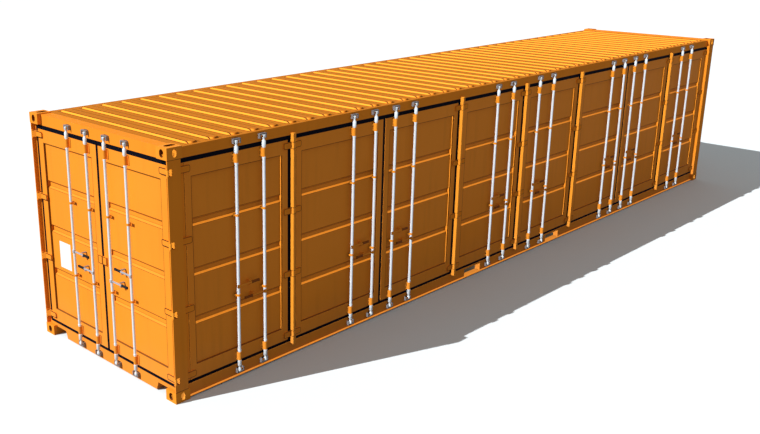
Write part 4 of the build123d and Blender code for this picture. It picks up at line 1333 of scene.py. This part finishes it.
@dataclass
class CastingLinings(Assembly):
    """Painted sleeves and plates inside the slots and holes of the corner castings."""

    length: float = 0.178
    width: float = 0.162
    height: float = 0.118
    wall: float = 0.028
    inner_wall: float = 0.010
    hole_height: float = 0.0795
    side_hole: float = 0.051
    end_hole: float = 0.0635
    hole_z: float = 0.059
    slot_length: float = 0.1245
    slot_width: float = 0.0635
    slot_x: float = 0.1035
    slot_y: float = 0.0895
    sheet: float = 0.0012
    sunk: float = 0.0008
    touch: float = 0.0002
    room: float = 0.001
    far_room: float = 0.002
    rounding: float = 0.0004

    @property
    def levels(self) -> Pair:
        """Heights of the holes in the bottom and the top castings."""
        return (self.hole_z, HIGH.z - self.hole_z)

    def sleeves(self, width: float, height: float, spots: Sequence[Matrix], name: str) -> Piece:
        """Sleeves of one kind of slot, at its places."""
        depth = self.wall - 2 * self.sunk
        return repeated(sleeve(width, height, depth, self.sheet), spots, name)

    def side_pieces(self) -> list[Piece]:
        """Sleeves of the side holes on the door side, and the plates that show through them."""
        spots = [Facing.SIDE.matrix(side * (HIGH.x - self.length / 2), z, self.sunk)
                 for side in BOTH for z in self.levels]
        pieces = [self.sleeves(self.side_hole, self.hole_height, spots, "side_sleeves")]
        low_y = LOW.y + self.wall + self.room
        high_y = LOW.y + self.width - self.inner_wall - self.far_room
        reach = self.length - self.wall - self.inner_wall - self.far_room
        half = self.height / 2 - self.wall - self.touch
        for back in (LOW.x + self.length - self.inner_wall, HIGH.x - self.wall):
            for z in self.levels:
                pieces.append(block((back - self.sheet, low_y, z - half),
                                    (back - self.touch, high_y, z + half), self.rounding))
                pieces.append(block((back - reach, low_y, z - half),
                                    (back - self.far_room, high_y, z - half + self.sheet),
                                    self.rounding))
        return pieces

    def end_pieces(self) -> list[Piece]:
        """Sleeves of the end holes and the top slots, and the plates that show through them."""
        holes = [Facing.END.matrix(side * (HIGH.y - self.width / 2), z, self.sunk)
                 for side in BOTH for z in self.levels]
        slots = [Matrix.Translation((x * (HIGH.x - self.slot_x), y * (HIGH.y - self.slot_y),
                                     HIGH.z - self.sunk)) @ Matrix.Rotation(QUARTER, 4, "Z")
                 for x in BOTH for y in BOTH]
        pieces = [self.sleeves(self.end_hole, self.hole_height, holes, "end_sleeves"),
                  self.sleeves(self.slot_width, self.slot_length, slots, "slot_sleeves")]
        low_x = LOW.x + self.wall + self.room
        high_x = LOW.x + self.length - self.inner_wall - self.far_room
        half = self.height / 2 - self.wall - self.room
        for back in (LOW.y + self.width - self.inner_wall, HIGH.y - self.wall):
            for z in self.levels:
                pieces.append(block((low_x, back - self.sheet, z - half),
                                    (high_x, back - self.touch, z + half), self.rounding))
        return pieces

    def build(self) -> Piece:
        """Both groups of linings; the bright side ones are given back."""
        for pieces, finish, name in (
                (self.end_pieces(), "grip_and_shade_paint", "casting_end_shade_linings"),
                (self.side_pieces(), "highlight_orange_paint", "casting_side_highlight_linings")):
            whole = self.fit(smooth(joined(pieces, name)), finish, "box", "casting_paint")
        return whole


@dataclass
class LapOutlines(Assembly):
    """Dark lines round the two half lap plates at the seam of the cargo doors."""

    near: float = 0.0035
    far: float = 0.075
    low: float = 1.144
    high: float = 1.234
    depth: float = 0.032
    line: float = 0.007
    rise: float = 0.0010

    def build(self) -> None:
        """One line on each door."""
        for side, hand in HANDS:
            ring = border((self.far - self.near) / 2, (self.high - self.low) / 2,
                          self.line, self.rise)
            ring.data.transform(Facing.END.matrix(
                side * (self.far + self.near) / 2, (self.high + self.low) / 2, self.depth))
            ring.name = f"lap_plate_line_{hand}"
            self.fit(ring, "shade_line_paint", f"door_{hand}", "door_paint")


@dataclass
class RoofSheet(Assembly):
    """The roof: a thin sheet with pressed cross ridges whose ends are round in plan."""

    pitch: float = 0.2656
    base: float = 0.150
    height: float = 0.018
    slope: float = 0.0215
    end_slope: float = 0.004
    margin: float = 0.089
    corner: float = 0.068
    root: float = 0.0005
    smooth_angle: float = 32.0

    def ridge(self) -> Piece:
        """One ridge about the origin, standing on z = 0, with rounded ends."""
        half = (HIGH.y - LOW.y) / 2 - self.margin
        ridge = block((-self.base / 2, -half, 0.0), (self.base / 2, half, self.height))
        with editing(ridge, lambda first, second: abs(first.z - second.z) > self.height / 2,
                     edges=True):
            bpy.ops.mesh.bevel(offset=self.corner, segments=CORNER_STEPS, affect="EDGES")
        with editing(ridge, lambda point: point.z > self.height / 2):
            bpy.ops.transform.resize(
                value=(1 - 2 * self.slope / self.base, 1 - self.end_slope / half, 1.0),
                center_override=(0, 0, self.height))
        return ridge

    def build(self) -> Piece:
        """Make the sheet and its ridges in the place of the constructed roof."""
        low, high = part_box("roof_panel")
        top = high.z - self.height
        sheet = block((low.x, low.y, low.z), (high.x, high.y, top), 0.0005)
        count = int((high.x - low.x) // self.pitch)
        spots = [Matrix.Translation(((step - (count - 1) / 2) * self.pitch, 0.0, top - self.root))
                 for step in range(count)]
        ridges = repeated(self.ridge(), spots, "roof_ridges")
        roof = smooth(joined([ridges, sheet], "roof_sheet"), self.smooth_angle)
        return self.fit(roof, "roof_paint", "box", "roof_paint", "roof_panel")


@dataclass
class Placard(Assembly):
    """The bare white plate on the left cargo door, with a rivet in each corner."""

    low_y: float = 0.676
    high_y: float = 0.898
    low_z: float = 0.872
    high_z: float = 1.179
    thickness: float = 0.0015
    depth: float = 0.066
    rivet_inset: float = 0.012
    rivet_sides: int = 12
    rivet: tuple[Pair, ...] = ((0.004, 0.0), (0.004, 0.0008), (0.003, 0.0018), (0.001, 0.0022))

    def build(self) -> None:
        """Make the plate and its rivets."""
        half_y, half_z = (self.high_y - self.low_y) / 2, (self.high_z - self.low_z) / 2
        place = Facing.END.matrix(
            (self.low_y + self.high_y) / 2, (self.low_z + self.high_z) / 2, self.depth)
        plate = block((-half_y, -half_z, 0.0), (half_y, half_z, self.thickness), 0.0006)
        plate.name = "placard"
        self.fit(moved(plate, place), "plate_paint", "door_left", "door_paint")
        head = moved(turned(self.rivet, self.rivet_sides), Matrix.Rotation(QUARTER, 4, "X"))
        across, up = half_y - self.rivet_inset, half_z - self.rivet_inset
        spots = [place @ Matrix.Translation((x * across, y * up, self.thickness))
                 for x in BOTH for y in BOTH]
        rivets = smooth(repeated(head, spots, "placard_rivets"))
        self.fit(rivets, "bar_steel", "door_left", "bar_steel")


@dataclass
class Studio:
    """Camera, floor and plain light, as the photograph shows them."""

    camera_place: Point = (-11.041, -7.840, 4.5215)
    heading: float = 45.55
    tilt: float = -17.09
    focal_px: float = 928.2
    centre_px: Pair = (288.6, 210.7)
    sensor: float = 36.0
    sight: float = 1000.0
    sun_travel: Point = (1.226, -0.425, -1.0)
    sun_strength: float = 4.4
    sun_size: float = 0.3
    fill_travel: Point = (1.0, 0.0, -0.7)
    fill_strength: float = 4.2
    rake_travel: Point = (1.0, 0.0, -0.05)
    rake_strength: float = 12.0
    fill_size: float = 4.0
    sky: float = 0.29
    floor_half: float = 300.0
    floor_seen: Colour = (0.89, 0.97, 1.0)
    floor_bounce: Colour = (0.22, 0.22, 0.22)

    def build_camera(self) -> None:
        """Set the camera where the photograph was taken from."""
        data = bpy.data.cameras.new("photo_camera")
        data.sensor_fit = "HORIZONTAL"
        data.sensor_width = self.sensor
        data.lens = self.focal_px / PHOTO_WIDTH * data.sensor_width
        data.shift_x = (PHOTO_WIDTH / 2 - self.centre_px[0]) / PHOTO_WIDTH
        data.shift_y = (self.centre_px[1] - PHOTO_HEIGHT / 2) / PHOTO_WIDTH
        data.clip_end = self.sight
        camera = bpy.data.objects.new("photo_camera", data)
        camera.location = self.camera_place
        camera.rotation_euler = (
            math.radians(90 + self.tilt), 0.0, math.radians(self.heading - 90))
        bpy.context.scene.collection.objects.link(camera)
        bpy.context.scene.camera = camera

    def lamp(self, name: str, travel: Point, strength: float, size: float) -> Piece:
        """A sun lamp by the direction of its light, its strength and its size in degrees."""
        data = bpy.data.lights.new(name, "SUN")
        data.energy = strength
        data.angle = math.radians(size)
        lamp = bpy.data.objects.new(name, data)
        lamp.rotation_euler = Vector(travel).to_track_quat("-Z", "Y").to_euler()
        bpy.context.scene.collection.objects.link(lamp)
        return lamp

    def build_key(self, passed: Sequence[Piece]) -> None:
        """The key lamp, from over the far left.

        Args:
            passed: slim pieces that its light passes, so that they drop no shadow on the doors.
        """
        lamp = self.lamp("studio_key", self.sun_travel, self.sun_strength, self.sun_size)
        passes = bpy.data.collections.new("key_passes")
        for piece in passed:
            passes.objects.link(piece)
        for entry in passes.collection_objects:
            entry.light_linking.link_state = "EXCLUDE"
        lamp.light_linking.blocker_collection = passes

    def build_fill(self, name: str, travel: Point, strength: float,
                   pieces: Sequence[Piece]) -> None:
        """A lamp that opens the shade on some pieces and leaves the rest alone.

        Args:
            name: name of the lamp.
            travel: direction of its light.
            strength: its energy.
            pieces: what it lights.
        """
        lamp = self.lamp(name, travel, strength, self.fill_size)
        lamp.data.use_shadow = False
        lamp.data.cycles.max_bounces = 0
        lamp.visible_glossy = False
        lit = bpy.data.collections.new(f"{name}_pieces")
        for piece in pieces:
            lit.objects.link(piece)
        lamp.light_linking.receiver_collection = lit

    def build_world(self) -> None:
        """A dim even sky that looks white to the camera and in reflections."""
        world = bpy.data.worlds.new("studio_world")
        world.use_nodes = True
        wiring = Wiring(world.node_tree)
        ray = wiring.node("LightPath").outputs
        seen = wiring.math("MAXIMUM", ray["Is Camera Ray"], ray["Is Glossy Ray"])
        shown = wiring.math("MAXIMUM", seen, ray["Is Transmission Ray"])
        background = next(node for node in wiring.tree.nodes if node.type == "BACKGROUND")
        wiring.fill(background, Color=(1.0, 1.0, 1.0, 1.0),
                    Strength=wiring.spread(Value=shown, To_Min=self.sky, To_Max=1.0))
        bpy.context.scene.world = world

    def build_floor(self) -> None:
        """A plain pale floor that keeps the shadow."""
        floor = fresh(bpy.ops.mesh.primitive_plane_add, size=2 * self.floor_half)
        floor.name = "studio_floor"
        surface = Surface("studio_floor")
        seen = surface.node("LightPath").outputs["Is Camera Ray"]
        colour = surface.mix(seen, self.floor_bounce, self.floor_seen)
        surface.fill(surface.shader, Base_Color=colour, Roughness=1.0, Specular_IOR_Level=0.0)
        floor.data.materials.append(surface.material)

    def build(self) -> None:
        """Set up all but the lamps."""
        self.build_camera()
        self.build_world()
        self.build_floor()
        bpy.context.scene.view_settings.view_transform = "Standard"


def side_nodes() -> list[Piece]:
    """The constructed pieces that make up the folding side."""
    names = ["fold_hinge_bars", "centre_post", "side_keepers", "post_blind_right",
             "bottom_rail_doors", "top_rail_doors", "fork_pockets"]
    names += [f"side_leaf_{number}" for number in range(1, 9)]
    return [frame["nodes"][name] for name in names]


def main() -> None:
    """Build the looks in order: studio, finishes, gear, hinges, seams, roof, plate and lamps."""
    logging.basicConfig(level=logging.INFO, format="%(name)s: %(message)s")
    studio = Studio()
    studio.build()
    finishes = Finishes()
    CadDress(finishes).dress_all()
    gear = LockingGear(finishes)
    brackets = Bearings(finishes)
    slim = gear.build_end() + brackets.build_end()
    lit = gear.build_side() + brackets.build_side()
    lit.append(SideHinges(finishes).build())
    lit += SideSeals(finishes).build()
    lit += EndHinges(finishes).build()
    KeeperLines(finishes).build()
    EndSealLips(finishes).build()
    CastingShadeLines(finishes).build()
    lit.append(CastingLinings(finishes).build())
    LapOutlines(finishes).build()
    lit.append(DoorShadeLines(finishes).build())
    roof = RoofSheet(finishes).build()
    Placard(finishes).build()
    studio.build_key(slim)
    studio.build_fill("side_fill", studio.fill_travel, studio.fill_strength, side_nodes() + lit)
    studio.build_fill("roof_rake", studio.rake_travel, studio.rake_strength, [roof])


if __name__ == "__main__":
    main()
